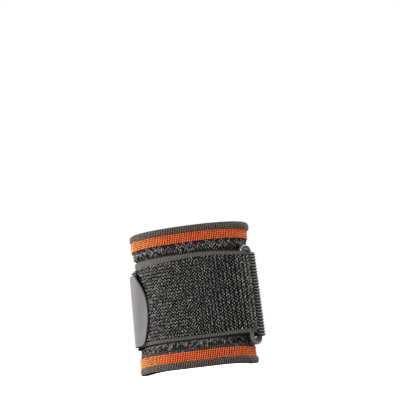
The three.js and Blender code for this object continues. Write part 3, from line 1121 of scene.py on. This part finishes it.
    def stitches(self) -> list[Piece]:
        """Sets the stitches.

        Returns:
            One piece for each yarn.
        """
        wale = np.arange(self.wales, dtype=float)
        gathered: dict[str, list[Guide]] = {}
        for upper in (False, True):
            for course in self.courses():
                points, out, up = self.guide(wale, course.rise, upper)
                if course.yarn:
                    names = np.full(self.wales, course.yarn.name)
                else:
                    names = self.chart(wale, course.rise, upper)
                for name in np.unique(names):
                    chosen = names == name
                    gathered.setdefault(str(name), []).append((points[chosen], out[chosen], up[chosen]))
        pitch = self.seat.length / self.wales
        pieces = []
        for name, parts in gathered.items():
            points, out, up = (np.concatenate(part) for part in zip(*parts))
            slanted = name == Yarn.FLEX_LIGHT.name
            stitch = YarnField(
                shape=YarnShape.STITCH,
                width=pitch * 0.5,
                length=0.84,
                height=0.3,
                yarn_radius=0.2 if slanted else 0.17,
                twist_deg=35.0 if slanted else 5.0,
                tilt_deg=4.0,
            )
            pieces.append(stitch.grow(f"{name.lower()}_stitches", points, out, up, Yarn[name]))
        return pieces

    def on_face(self, wale: np.ndarray, shift: float, rise: float, upper: bool) -> np.ndarray:
        """Finds points on the tube's outer face, a little under it.

        Args:
            wale: the wales' numbers.
            shift: how far round from the wales the points lie, in wales.
            rise: the points' rise from a rim.
            upper: whether it is measured down from the upper rim.

        Returns:
            The points.
        """
        rises = np.clip(np.full(len(wale), rise), self.lowest_rise, self.flex_top)
        height = self.form.height - rises if upper else rises
        out = self.outer_at(wale, rises) - self.sunk
        return self.form.place(self.turn_at(wale + shift), out, height)

    def guide(self, wale: np.ndarray, rise: float, upper: bool) -> Guide:
        """The places and directions of one round of stitches.

        Args:
            wale: the wales' numbers.
            rise: the round's rise from its rim.
            upper: whether it is measured down from the upper rim.

        Returns:
            The points, their outward directions and their upward directions.
        """
        over, under = rise + self.look_up, rise - self.look_up
        up = unit(self.on_face(wale, 0.0, over, upper) - self.on_face(wale, 0.0, under, upper))
        up = up * (-1.0 if upper else 1.0)
        ahead = self.on_face(wale, self.look_round, rise, upper)
        behind = self.on_face(wale, -self.look_round, rise, upper)
        return self.on_face(wale, 0.0, rise, upper), unit(np.cross(unit(ahead - behind), up)), up

    def build(self) -> list[Piece]:
        """Makes the cuff's pieces.

        Returns:
            The pieces.
        """
        tube = self.tube()
        stitches = self.stitches()
        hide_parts("knit_cuff")
        for piece in (tube, *stitches):
            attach(piece, "root")
            report(piece)
        round_it = CuffOval(self.form, self.wall_middle).length * MM
        return [tube, *stitches]


class Bar(Enum):
    """The ring's two long bars, by the side of the ring's middle that they are on."""

    INNER = -1
    OUTER = 1


@dataclass(frozen=True)
class StrapMark:
    """The strap's run at a mark: its centre height, its width and how it is skewed."""

    centre: float
    width: float
    skew: float = 0.0


@dataclass
class StrapPath:
    """The way of the strap: tucked end, fold round the ring, round the cuff, through the ring and on."""

    form: CuffForm
    gap: float = 0.35
    thickness: float = 1.6
    on_cuff: StrapMark = StrapMark(40.0, STRAP_WIDTH)
    in_ring: StrapMark = StrapMark(39.1, 45.8)
    after_ring: StrapMark = StrapMark(38.3, 47.4)
    free_end_mark: StrapMark = StrapMark(37.0, 45.0, 0.2)
    tuck: float = 10.0
    first_settles: float = 22.0
    second_settles_lower: float = 20.0
    second_settles_upper: float = 9.0
    inner_fold_slack: float = 1.43
    free_end_past: float = 11.2
    ring_rod: float = 3.0
    ring_length: float = 56.5
    ring_corner: float = 3.0
    ring_end: float = 1.0
    ring_centre: float = 38.1
    ring_place: float = 8.2
    ring_half_span: float = 4.2
    ring_lean: float = 0.04
    ring_lift_lower: float = 1.4
    ring_lift_upper: float = -0.35
    tab_thickness: float = 0.8
    search_rounds: int = 12
    search_share: float = 0.75
    look_along: float = 0.05

    def __post_init__(self) -> None:
        """Works out the layers and the lengths of the strap's stretches."""
        self.first_layer = self.gap + self.thickness / 2
        self.second_layer = self.first_layer + self.thickness + self.gap
        self.fold_radius = self.ring_rod / 2 + self.first_layer
        self.bar_layer = self.first_layer + self.fold_radius
        self.fold_crest = self.bar_layer + self.fold_radius
        self.tab_underside = self.second_layer + self.thickness / 2 + self.gap
        self.tab_face = self.tab_underside + self.tab_thickness
        self.tab_tip_face = self.first_layer + self.thickness / 2 + self.gap + self.tab_thickness
        self.seat = CuffOval(self.form, 0.0)
        self.face = CuffOval(self.form, self.tab_face)
        out = self.form.outwards(self.seat.turn_at(-self.ring_place))
        self.ring_over = np.array([-out[1], out[0]])
        middle = np.array(self.ring_centre)
        outer_place = float(self.bar(Bar.OUTER, middle)[1])
        inner_place = float(self.bar(Bar.INNER, middle)[1])
        self.fold_length = math.pi * self.fold_radius
        self.first_turn = self.seat.length - outer_place + inner_place
        self.free_end_on_face = self.face.length / 2 + self.free_end_past
        second_begun = float(self.face.distance_at(self.seat.turn_at(outer_place)))
        self.second_turn = self.free_end_on_face - second_begun
        self.free_end = self.tuck + self.first_turn + self.second_turn + 2 * self.fold_length

    def ring_share(self, height: np.ndarray) -> np.ndarray:
        """How far a height lies up the ring, from 0 to 1."""
        return 0.5 + (height - self.ring_centre) / self.ring_length

    def bar(self, bar: Bar, height: np.ndarray) -> tuple[np.ndarray, np.ndarray, np.ndarray]:
        """Finds a bar of the ring at heights.

        Args:
            bar: which of the two bars.
            height: the heights.

        Returns:
            The bar's middle in plan, the place on the seat under it, and its lift over the bar's usual layer.
        """
        lean = self.ring_lean * (height - self.ring_centre)
        share = self.ring_share(height)
        lift = self.ring_lift_lower + (self.ring_lift_upper - self.ring_lift_lower) * share
        point = self.form.plan(self.seat.turn_at(-self.ring_place - lean), self.bar_layer + lift)
        point = point + self.ring_over * (bar.value * self.ring_half_span)
        place = np.full(np.shape(height), bar.value * self.ring_half_span - self.ring_place)
        found = np.zeros(np.shape(height))
        for _ in range(self.search_rounds):
            turn = self.seat.turn_at(place)
            out = self.form.outwards(turn)
            away = point - self.form.plan(turn, 0.0)
            found = (away * out).sum(-1)
            aside = away[..., 1] * out[..., 0] - away[..., 0] * out[..., 1]
            place = place + self.search_share * aside
        return point, place, found - self.bar_layer

    def fold(self, bar: Bar, distance: np.ndarray, height: np.ndarray) -> np.ndarray:
        """The fold round a bar, from under it through the ring's window to its outer side.

        Args:
            bar: which of the ring's two bars.
            distance: the distance from the fold's start.
            height: the height over the floor.

        Returns:
            The points' x and y.
        """
        point, place, _ = self.bar(bar, height)
        out = self.form.outwards(self.seat.turn_at(place))
        around = np.stack([-out[..., 1], out[..., 0]], axis=-1)
        angle = (distance / self.fold_radius)[..., None]
        slack = self.inner_fold_slack if bar is Bar.INNER else 1.0
        return point - self.fold_radius * (out * np.cos(angle) + bar.value * slack * around * np.sin(angle))

    def middle(self, distance: np.ndarray, height: np.ndarray) -> np.ndarray:
        """The strap's middle line in plan.

        Args:
            distance: the distance from the tucked end.
            height: the height over the floor.

        Returns:
            The points' x and y.
        """
        _, start, start_lift = self.bar(Bar.INNER, height)
        _, back, back_lift = self.bar(Bar.OUTER, height)
        seat, plan = self.seat, self.form.plan
        ends = np.cumsum([self.tuck, self.fold_length, self.first_turn, self.fold_length])
        tucked_out = self.first_layer + start_lift * smoothstep(distance, 0.0, self.tuck)
        tucked = plan(seat.turn_at(start - self.tuck + distance), tucked_out)
        first_fold = self.fold(Bar.INNER, distance - ends[0], height)
        left = distance - ends[1]
        rising = back_lift * smoothstep(left, self.first_turn - self.tuck, self.first_turn)
        share = smoothstep(left, 0.0, self.first_settles)
        out = (self.fold_crest + start_lift) * (1 - share) + (self.first_layer + rising) * share
        first = plan(self.first_turn_at(distance, height), out)
        second_fold = self.fold(Bar.OUTER, distance - ends[2], height)
        left = distance - ends[3]
        lower, upper = self.second_settles_lower, self.second_settles_upper
        share = smoothstep(left, 0.0, lower + (upper - lower) * self.ring_share(height))
        out = (self.fold_crest + back_lift) * (1 - share) + self.second_layer * share
        begun = self.face.distance_at(seat.turn_at(back))
        place = begun + (self.free_end_on_face - begun) * left / self.second_turn
        second = plan(self.face.turn_at(place), out)
        found = second
        for end, stretch in zip(ends[::-1], (second_fold, first, first_fold, tucked)):
            found = np.where((distance < end)[..., None], stretch, found)
        return found

    def first_turn_at(self, distance: np.ndarray, height: np.ndarray) -> np.ndarray:
        """The turn round the cuff at places of the strap's first time round.

        Args:
            distance: the distance from the tucked end.
            height: the height over the floor.

        Returns:
            The turns, which fall from the ring on.
        """
        start, back = self.bar(Bar.INNER, height)[1], self.bar(Bar.OUTER, height)[1]
        left = distance - self.tuck - self.fold_length
        return self.seat.turn_at(start + (back - self.seat.length - start) * left / self.first_turn)

    def run(self, distance: np.ndarray) -> tuple[np.ndarray, np.ndarray, np.ndarray]:
        """How the strap runs at distances from its tucked end.

        Args:
            distance: the distances.

        Returns:
            The strap's centre height, its width and its skew.
        """
        start = self.tuck + self.fold_length
        marks = (
            (start, self.in_ring),
            (start + self.first_settles, self.on_cuff),
            (start + self.first_turn - self.first_settles, self.on_cuff),
            (start + self.first_turn, self.in_ring),
            (self.free_end - self.second_turn, self.after_ring),
            (self.free_end, self.free_end_mark),
        )
        at = np.array([place for place, _ in marks])
        sizes = np.array([(mark.centre, mark.width, mark.skew) for _, mark in marks])
        after = np.clip(np.searchsorted(at, distance), 1, len(at) - 1)
        share = smoothstep(distance, at[after - 1], at[after])[..., None]
        found = sizes[after - 1] * (1 - share) + sizes[after] * share
        return found[..., 0], found[..., 1], found[..., 2]

    def point(self, distance: np.ndarray, across: np.ndarray, off: Reals) -> np.ndarray:
        """A point of the strap.

        Args:
            distance: the distance of its station from the tucked end.
            across: its place across the strap, from -0.5 at the lower edge to 0.5 at the upper one.
            off: its distance from the middle line towards the ribbed face.

        Returns:
            The points in the frame of the solids.
        """
        distance, across, off = np.broadcast_arrays(distance, across, off)
        centre, width, skew = self.run(distance)
        height = centre + across * width
        place = distance + across * width * skew
        ahead = self.middle(place + self.look_along, height) - self.middle(place - self.look_along, height)
        side = unit(np.stack([ahead[..., 1], -ahead[..., 0]], axis=-1))
        return self.form.settle(self.middle(place, height) + side * off[..., None], height)


@dataclass
class HookTab:
    """The hook tab on the strap's free end, with its round tip on the pile of the first turn."""

    path: StrapPath
    half_width: float = 20.3
    length: float = 50.0
    tip_past: float = 23.2
    tip_radius: float = 32.0
    corner: float = 2.2
    bend_from: float = 1.5
    bend_to: float = 11.0
    drop: float = 0.4
    skew: float = -0.04
    edge_round: float = 0.35
    edge_rows: tuple[float, ...] = (0.0, 0.12, 0.3)
    steps: int = 60
    first_step: float = 0.015
    rows: int = 48
    row_spread: float = 1.4

    def sagitta(self, across: np.ndarray) -> np.ndarray:
        """How far the round tip falls back, with its small corners.

        Args:
            across: the places across the tab.

        Returns:
            The distances back from the tip.
        """
        in_corner = np.clip(np.abs(across) - self.half_width + self.corner, 0.0, self.corner)
        on_tab = np.clip(across, -self.half_width, self.half_width)
        fallen = self.tip_radius - np.sqrt(self.tip_radius**2 - on_tab**2)
        return fallen + self.corner - np.sqrt(self.corner**2 - in_corner**2)

    def beyond(self, turn: np.ndarray, height: np.ndarray) -> np.ndarray:
        """How far points on the cuff lie beyond the tab's tip.

        Args:
            turn: the points' turns round the cuff.
            height: their heights.

        Returns:
            The distances, less than 0 under the tab.
        """
        across = height - self.path.free_end_mark.centre + self.drop
        place = self.path.face.distance_at(turn - np.floor(turn)) - across * self.skew
        return place - self.path.face.length / 2 - self.tip_past + self.sagitta(across)

    def build(self) -> list[Piece]:
        """Makes the tab as one closed wall.

        Returns:
            The piece, in a list.
        """
        path = self.path
        tip_place = path.face.length / 2 + self.tip_past
        start = tip_place - self.length
        fine = np.array(self.edge_rows) / self.half_width
        spread = np.sin(np.linspace(-self.row_spread, self.row_spread, self.rows))
        across = np.concatenate([fine - 1, spread, (1 - fine)[::-1]]) * self.half_width
        sagitta = self.sagitta(across)
        fine = np.array(self.edge_rows) / self.length
        spread = np.linspace(self.first_step, 1 - self.first_step, self.steps)
        share = np.concatenate([fine, spread, (1 - fine)[::-1]])[:, None]
        level = start + (self.length - sagitta)[None, :] * share
        place = level + across[None, :] * self.skew
        past_strap = place - path.free_end_on_face - across[None, :] * path.free_end_mark.skew
        bend = smoothstep(past_strap, self.bend_from, self.bend_to)
        face = path.tab_face + (path.tab_tip_face - path.tab_face) * bend
        inset = np.minimum(level - start, tip_place - sagitta[None, :] - level)
        inset = np.minimum(inset, self.half_width - np.abs(across)[None, :])
        fall = 1 - np.sqrt(1 - (1 - np.clip(inset / self.edge_round, 0.0, 1.0)) ** 2)
        on_strap = np.minimum(path.free_end - path.free_end_on_face + place, path.free_end)
        height = path.run(on_strap)[0] + across[None, :] - self.drop
        turn = path.face.turn_at(place)
        outer = path.form.place(turn, face - self.edge_round * fall, height)
        inner = path.form.place(turn, face - path.tab_thickness, height)
        wall = Wall(outer, inner, place.mean(axis=1), across, across)
        tab = wall.make("tab", [HOOK_PLASTIC.material()])
        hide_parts("hook_tab")
        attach(tab, "root")
        report(tab)
        return [tab]


@dataclass(frozen=True)
class LoopSet:
    """One set of the pile's loops, on every other place of the lattice.

    The loops of two sets slant against each other and make a net. The third set stands where the net crosses.
    """

    name: str
    yarn: Yarn
    first_place: int
    shift: float
    slant_deg: float
    length: float
    height: float
    yarn_radius: float
    seed: int

    def field(self) -> YarnField:
        """Sets up the set's yarn.

        Returns:
            The yarn field that makes the set's loops.
        """
        return YarnField(
            shape=YarnShape.LOOP,
            width=1.0,
            length=self.length,
            height=self.height,
            yarn_radius=self.yarn_radius,
            twist_deg=20.0,
            tilt_deg=20.0,
            size_spread=0.2,
            seed=self.seed,
        )


@dataclass
class PileStrap:
    """The broad strap: webbing with ribs on one face, and pile between two plain selvedges on the other."""

    path: StrapPath
    tab: HookTab
    ribs: int = STRAP_RIBS
    rib_rows: int = 6
    rib_depth: float = 0.65
    lower_selvedge: float = 2.4
    upper_selvedge: float = 2.3
    upper_selvedge_grows: float = 2.3
    grows_from: float = 25.0
    grows_to: float = 95.0
    selvedge_step: float = 0.5
    selvedge_slope: float = 0.6
    pile_ground: float = 0.35
    edge_round: float = 0.5
    edge_share: float = 0.25
    edge_rows: tuple[float, ...] = (0.0, 0.1, 0.22)
    steps: tuple[int, ...] = (6, 16, 120, 16, 90)
    loop_pitch: float = 0.92
    pile_from: float = 17.0
    pile_length: float = 76.5
    pile_margin: float = 0.1
    pile_root: float = 0.05
    pile_lift: float = 0.4
    pile_lift_reach: float = 3.0
    flat_past_tab: float = 1.0
    loop_jitter: float = 0.1
    pairing: float = 0.36
    columns_to: float = 24.0
    rows_from: float = 60.0
    look_out: float = 0.3
    look_across: float = 0.01
    loop_sets: tuple[LoopSet, ...] = (
        LoopSet("strap_pile", Yarn.PILE, 0, 0.0, 45.0, 0.9, 0.8, 0.12, 11),
        LoopSet("strap_pile_across", Yarn.PILE, 1, 0.0, -45.0, 0.9, 0.8, 0.12, 29),
        # The high set's yarn is painted highlight: a lighter copy of the pile yarn on the loops that stand
        # highest.
        LoopSet("strap_pile_high", Yarn.PILE_BRIGHT, 0, 0.5, 0.0, 0.65, 1.05, 0.14, 47),
    )

    def webbing(self) -> Piece:
        """Makes the webbing as one closed wall.

        Returns:
            The piece's object.
        """
        path = self.path
        stretches = (path.tuck, path.fold_length, path.first_turn, path.fold_length, path.second_turn)
        stations = [np.zeros(1)]
        for length, count in zip(stretches, self.steps):
            stations.append(stations[-1][-1] + length * np.arange(1, count + 1) / count)
        distance = np.concatenate(stations)[:, None]
        across = self.rows()[None, :]
        _, width, _ = path.run(distance)
        inset = (0.5 - np.abs(across)) * width
        half = path.thickness / 2
        rounding = np.sqrt(1 - (1 - np.clip(inset / self.edge_round, 0.0, 1.0)) ** 2)
        rounding = rounding * (1 - self.edge_share) + self.edge_share
        rib = np.sin(np.pi * self.ribs * (across + 0.5)) ** 2
        ribbed = (half - self.rib_depth * (1 - rib)) * rounding
        plain = half - self.selvedge_step
        lower, upper = self.insets(distance, across)
        step = smoothstep(np.minimum(lower, upper), -self.selvedge_slope, 0.0)
        piled = (plain + (self.pile_ground - plain) * step) * rounding
        wall = Wall(
            outer=path.point(distance, across, ribbed),
            inner=path.point(distance, across, -piled),
            along=distance[:, 0],
            across_outer=across[0] * path.on_cuff.width,
            across_inner=across[0] * path.on_cuff.width,
            outer_slots=np.zeros(across.size - 1, int),
            inner_slots=self.pile_slots(distance, across),
        )
        return wall.make("strap_webbing", [face.value.material() for face in Webbing])

    def rows(self) -> np.ndarray:
        """Spaces the rows across the webbing, finer at its edges and the same number to each rib.

        Returns:
            The rows' places, from -0.5 to 0.5.
        """
        count = self.rib_rows * self.ribs
        inner = np.arange(1, count) / count - 0.5
        edge = np.array(self.edge_rows) / self.path.on_cuff.width
        return np.concatenate([edge - 0.5, inner, (0.5 - edge)[::-1]])

    def insets(self, distance: np.ndarray, across: np.ndarray) -> tuple[np.ndarray, np.ndarray]:
        """How far points lie inside the pile's two edges.

        Args:
            distance: the distance from the tucked end.
            across: the place across the strap, from -0.5 to 0.5.

        Returns:
            The distances inside the lower and the upper edge.
        """
        _, width, _ = self.path.run(distance)
        grown = self.upper_selvedge_grows * smoothstep(distance, self.grows_from, self.grows_to)
        upper = self.upper_selvedge + grown
        return (across + 0.5) * width - self.lower_selvedge, (0.5 - across) * width - upper

    def pile_slots(self, distance: np.ndarray, across: np.ndarray) -> np.ndarray:
        """Finds the finish of each face on the pile side.

        Args:
            distance: the stations' distances from the tucked end, in a column.
            across: the rows' places across the strap, in a row.

        Returns:
            The faces' material slots.
        """
        middle = (across[:, 1:] + across[:, :-1]) / 2
        station = (distance[1:] + distance[:-1]) / 2
        lower, upper = self.insets(station, middle)
        slots = {face: slot for slot, face in enumerate(Webbing)}
        inside = np.where(station < self.pile_from, slots[Webbing.BARE_FOLD], slots[Webbing.PILE_GROUND])
        outside = np.minimum(lower, upper) < -self.selvedge_slope / 2
        return np.where(outside, slots[Webbing.SELVEDGE], inside)

    def lattice(self, loops: LoopSet) -> tuple[np.ndarray, np.ndarray]:
        """Finds the places of one set of loops, where the strap shows its pile.

        Near the fold the columns stand closer together by twos, and towards the tab the rows do.

        Args:
            loops: the set.

        Returns:
            The places' distances from the tucked end, and their places across the strap.
        """
        path = self.path
        columns = int(self.pile_length / self.loop_pitch)
        rows = int(path.on_cuff.width / self.loop_pitch)
        grids = np.meshgrid(np.arange(columns), np.arange(rows), indexing="ij")
        column, row = (grid.ravel() for grid in grids)
        random = np.random.default_rng(loops.seed)
        jitter = random.uniform(-self.loop_jitter, self.loop_jitter, (2, column.size))
        distance = self.pile_from + self.loop_pitch * (column + loops.shift) + jitter[0]
        across = (row + 0.5 + loops.shift) / rows - 0.5 + jitter[1] / path.on_cuff.width
        in_columns = 1 - smoothstep(distance, self.columns_to, self.rows_from)
        distance = distance - self.pairing * in_columns * self.loop_pitch * (column % 2)
        in_rows = smoothstep(distance, self.columns_to, self.rows_from)
        across = across - self.pairing * in_rows * (row % 2) / rows
        centre, width, _ = path.run(distance)
        height = centre + across * width
        lower, upper = self.insets(distance, across)
        shown = ((column + row) % 2 == loops.first_place) & (np.minimum(lower, upper) > self.pile_margin)
        # Painted shadow: no loops stand in a strip just past the tab's tip, so the near black ground shows
        # there for the shadow of the tab's edge.
        shown &= self.tab.beyond(path.first_turn_at(distance, height), height) > self.flat_past_tab
        return distance[shown], across[shown]

    def pile(self, loops: LoopSet) -> Piece:
        """Makes one set of the pile's loops, lifted a little where they stand on the fold.

        Args:
            loops: the set.

        Returns:
            The piece's object.
        """
        path = self.path
        distance, across = self.lattice(loops)
        from_fold = distance - path.tuck - path.fold_length / 2
        lift = self.pile_lift * np.exp(-((from_fold / self.pile_lift_reach) ** 2))
        ground = self.pile_root - self.pile_ground - lift
        points = path.point(distance, across, ground)
        out = unit(path.point(distance, across, ground - self.look_out) - points)
        slant = math.radians(loops.slant_deg)
        upwards = unit(path.point(distance, across + self.look_across, ground) - points)
        onwards = unit(path.point(distance + self.look_out, across, ground) - points)
        up = unit(upwards * math.cos(slant) + onwards * math.sin(slant))
        return loops.field().grow(loops.name, points, out, up, loops.yarn)

    def build(self) -> list[Piece]:
        """Makes the strap's pieces.

        Returns:
            The pieces.
        """
        webbing = self.webbing()
        pile = [self.pile(loops) for loops in self.loop_sets]
        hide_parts("strap")
        for piece in (webbing, *pile):
            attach(piece, "root")
            report(piece)
        return [webbing, *pile]


@dataclass
class StrapRing:
    """The plastic ring: a round rod bent to a rounded rectangle."""

    path: StrapPath
    sides: int = 18
    corner_steps: int = 12
    measured_at: float = 0.4

    def build(self) -> list[Piece]:
        """Makes the ring in its place in the strap's folds.

        Returns:
            The piece, in a list.
        """
        path = self.path
        heights = path.ring_centre + np.array([-1, 1]) * self.measured_at * path.in_ring.width
        bars = [path.form.settle(path.bar(bar, heights)[0], heights) for bar in Bar]
        middle = (bars[0] + bars[1]) / 2
        up = unit(middle[1] - middle[0])
        over = bars[1][0] - bars[0][0]
        over = unit(over - up * (over @ up))
        outwards = np.cross(over, up)
        half = np.array([path.ring_half_span, (path.ring_length - path.ring_rod) / 2]) - path.ring_corner
        bends = np.concatenate([np.linspace(i, i + 1, self.corner_steps + 1) for i in range(4)]) * np.pi / 2
        signs = np.repeat(np.array([(1, 1), (-1, 1), (-1, -1), (1, -1)]), self.corner_steps + 1, axis=0)
        away = np.stack([np.cos(bends), np.sin(bends)], axis=-1)
        angles = np.linspace(-np.pi / 2, np.pi / 2, self.sides // 2 + 1)
        faces = []
        for sign in (1.0, -1.0):
            thicker = path.ring_end * away[:, 1:] ** 2 if sign < 0 else 0.0
            reach = path.ring_corner + sign * np.cos(angles)[None, :] * (path.ring_rod / 2 + thicker)
            flat = (signs * half)[:, None, :] + away[:, None, :] * reach[..., None]
            depth = np.broadcast_to(np.sin(angles) * path.ring_rod / 2, flat.shape[:2])
            point = flat[..., :1] * over + flat[..., 1:] * up + depth[..., None] * outwards
            faces.append(point + (middle[0] + middle[1]) / 2)
        columns = np.arange(len(bends) + 1, dtype=float)
        wall = Wall(faces[0], faces[1][:, 1:-1], columns, angles, angles[1:-1], hoop=True)
        ring = wall.make("ring", [RING_PLASTIC.material()])
        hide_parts("strap_ring")
        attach(ring, "root")
        report(ring)
        return [ring]


@dataclass(frozen=True)
class SoftLight:
    """A square soft light: where it stands round the support, its size and its power."""

    name: str
    azimuth_deg: float
    elevation_deg: float
    distance: float
    size: float
    watts: float
    colour: Colour = (1.0, 1.0, 1.0)


@dataclass
class Studio:
    """The pale floor, the soft lights and the camera."""

    form: CuffForm
    camera_azimuth_deg: float = 8.13
    camera_height: float = 3.0
    camera_distance: float = 547.7
    focal_pixels: float = 943.8
    picture_pixels: float = 400.0
    sensor_width: float = 36.0
    roll_deg: float = 6.65
    aim_height: float = 40.0
    aim_pixel: tuple[float, float] = (191.94, 299.84)
    floor_half: float = 3000.0
    backdrop: float = 1.0
    surround: float = 0.2
    overhead: float = 3.3
    overhead_spread_deg: float = 100.0
    lights: tuple[SoftLight, ...] = (
        SoftLight("key", -95.0, 15.0, 1.0, 0.6, 24.0, (1.0, 0.97, 0.92)),
        SoftLight("front", -5.0, 35.0, 1.0, 0.4, 7.5),
        SoftLight("back", 165.0, 35.0, 1.0, 0.7, 4.0),
    )

    def floor(self) -> None:
        """Lays the pale floor under the support."""
        half = self.floor_half * MM
        mesh = bpy.data.meshes.new("floor")
        corners = [(-half, -half, 0), (half, -half, 0), (half, half, 0), (-half, half, 0)]
        mesh.from_pydata(corners, [], [(0, 1, 2, 3)])
        mesh.materials.append(FloorFinish().material())
        floor = bpy.data.objects.new("floor", mesh)
        bpy.context.collection.objects.link(floor)

    def lamp(self, soft: SoftLight) -> None:
        """Sets one soft light, turned to the support's middle.

        Args:
            soft: the light.
        """
        aim = Vector((0.0, 0.0, self.form.height / 2 * MM))
        azimuth, elevation = math.radians(soft.azimuth_deg), math.radians(soft.elevation_deg)
        level = math.cos(elevation)
        back = Vector((math.sin(azimuth) * level, -math.cos(azimuth) * level, math.sin(elevation)))
        data = bpy.data.lights.new(soft.name, "AREA")
        data.energy = soft.watts
        data.size = soft.size
        data.color = soft.colour
        lamp = bpy.data.objects.new(soft.name, data)
        lamp.location = aim + back * soft.distance
        lamp.rotation_mode = "QUATERNION"
        lamp.rotation_quaternion = (-back).to_track_quat("-Z", "Y")
        bpy.context.collection.objects.link(lamp)

    def sky(self) -> None:
        """Sets the broad light from above and the surround, which is brighter to see than it shines."""
        sun = bpy.data.lights.new("overhead", "SUN")
        sun.energy = self.overhead
        sun.angle = math.radians(self.overhead_spread_deg)
        bpy.context.collection.objects.link(bpy.data.objects.new("overhead", sun))
        world = bpy.data.worlds.new("surround")
        world.use_nodes = True
        world.node_tree.nodes.clear()
        bench = NodeBench(world.node_tree)
        seen = bench.add("ShaderNodeLightPath").outputs["Is Camera Ray"]
        spread = {0: seen, 1: self.backdrop - self.surround, SUM_THIRD: self.surround}
        strength = bench.add("ShaderNodeMath", spread, operation="MULTIPLY_ADD").outputs[0]
        shown = bench.add("ShaderNodeBackground", {"Color": (1.0, 1.0, 1.0, 1.0), "Strength": strength})
        bench.add("ShaderNodeOutputWorld", {"Surface": shown.outputs["Background"]})
        bpy.context.scene.world = world
        bpy.context.scene.view_settings.view_transform = "Standard"

    def camera(self) -> None:
        """Sets the camera at the photograph's angle: low in front of the support, tipped up and rolled."""
        foot = (self.form.place(0.0, 0.0, 0.0) + self.form.place(0.5, 0.0, 0.0)) / 2
        azimuth = math.radians(self.camera_azimuth_deg)
        right = Vector((math.cos(azimuth), math.sin(azimuth), 0.0))
        ahead = Vector((-math.sin(azimuth), math.cos(azimuth), 0.0))
        up = Vector((0.0, 0.0, 1.0))
        place = Vector((foot[0], foot[1], self.camera_height)) - ahead * self.camera_distance
        roll = math.radians(self.roll_deg)
        across = self.aim_pixel[0] - self.picture_pixels / 2
        down = self.aim_pixel[1] - self.picture_pixels / 2
        level_x = across * math.cos(roll) - down * math.sin(roll)
        level_y = across * math.sin(roll) + down * math.cos(roll)
        pitch = math.atan2(self.aim_height - self.camera_height, self.camera_distance)
        pitch += math.atan2(level_y, self.focal_pixels)
        yaw = -math.atan2(level_x, self.focal_pixels)
        tipped_up = up * math.cos(pitch) - ahead * math.sin(pitch)
        tipped = up * math.sin(pitch) + ahead * math.cos(pitch)
        turned_right = right * math.cos(yaw) - tipped * math.sin(yaw)
        turned = right * math.sin(yaw) + tipped * math.cos(yaw)
        camera_x = turned_right * math.cos(roll) - tipped_up * math.sin(roll)
        camera_y = turned_right * math.sin(roll) + tipped_up * math.cos(roll)
        data = bpy.data.cameras.new("camera")
        data.sensor_width = self.sensor_width
        data.lens = self.focal_pixels / self.picture_pixels * self.sensor_width
        data.clip_start = 0.01
        camera = bpy.data.objects.new("camera", data)
        turn = Matrix((camera_x, camera_y, -turned)).transposed()
        camera.matrix_world = Matrix.Translation(place * MM) @ turn.to_4x4()
        bpy.context.collection.objects.link(camera)
        bpy.context.scene.camera = camera

    def build(self) -> None:
        """Makes the whole studio."""
        self.floor()
        for soft in self.lights:
            self.lamp(soft)
        self.sky()
        self.camera()


def main() -> None:
    """Builds the support's sub-assemblies and its studio."""
    logging.basicConfig(level=logging.INFO, format="%(name)s: %(message)s")
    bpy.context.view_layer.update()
    form = CuffForm()
    path = StrapPath(form)
    Studio(form).build()
    KnitCuff(form).build()
    tab = HookTab(path)
    PileStrap(path, tab).build()
    StrapRing(path).build()
    tab.build()


if __name__ == "__main__":
    main()
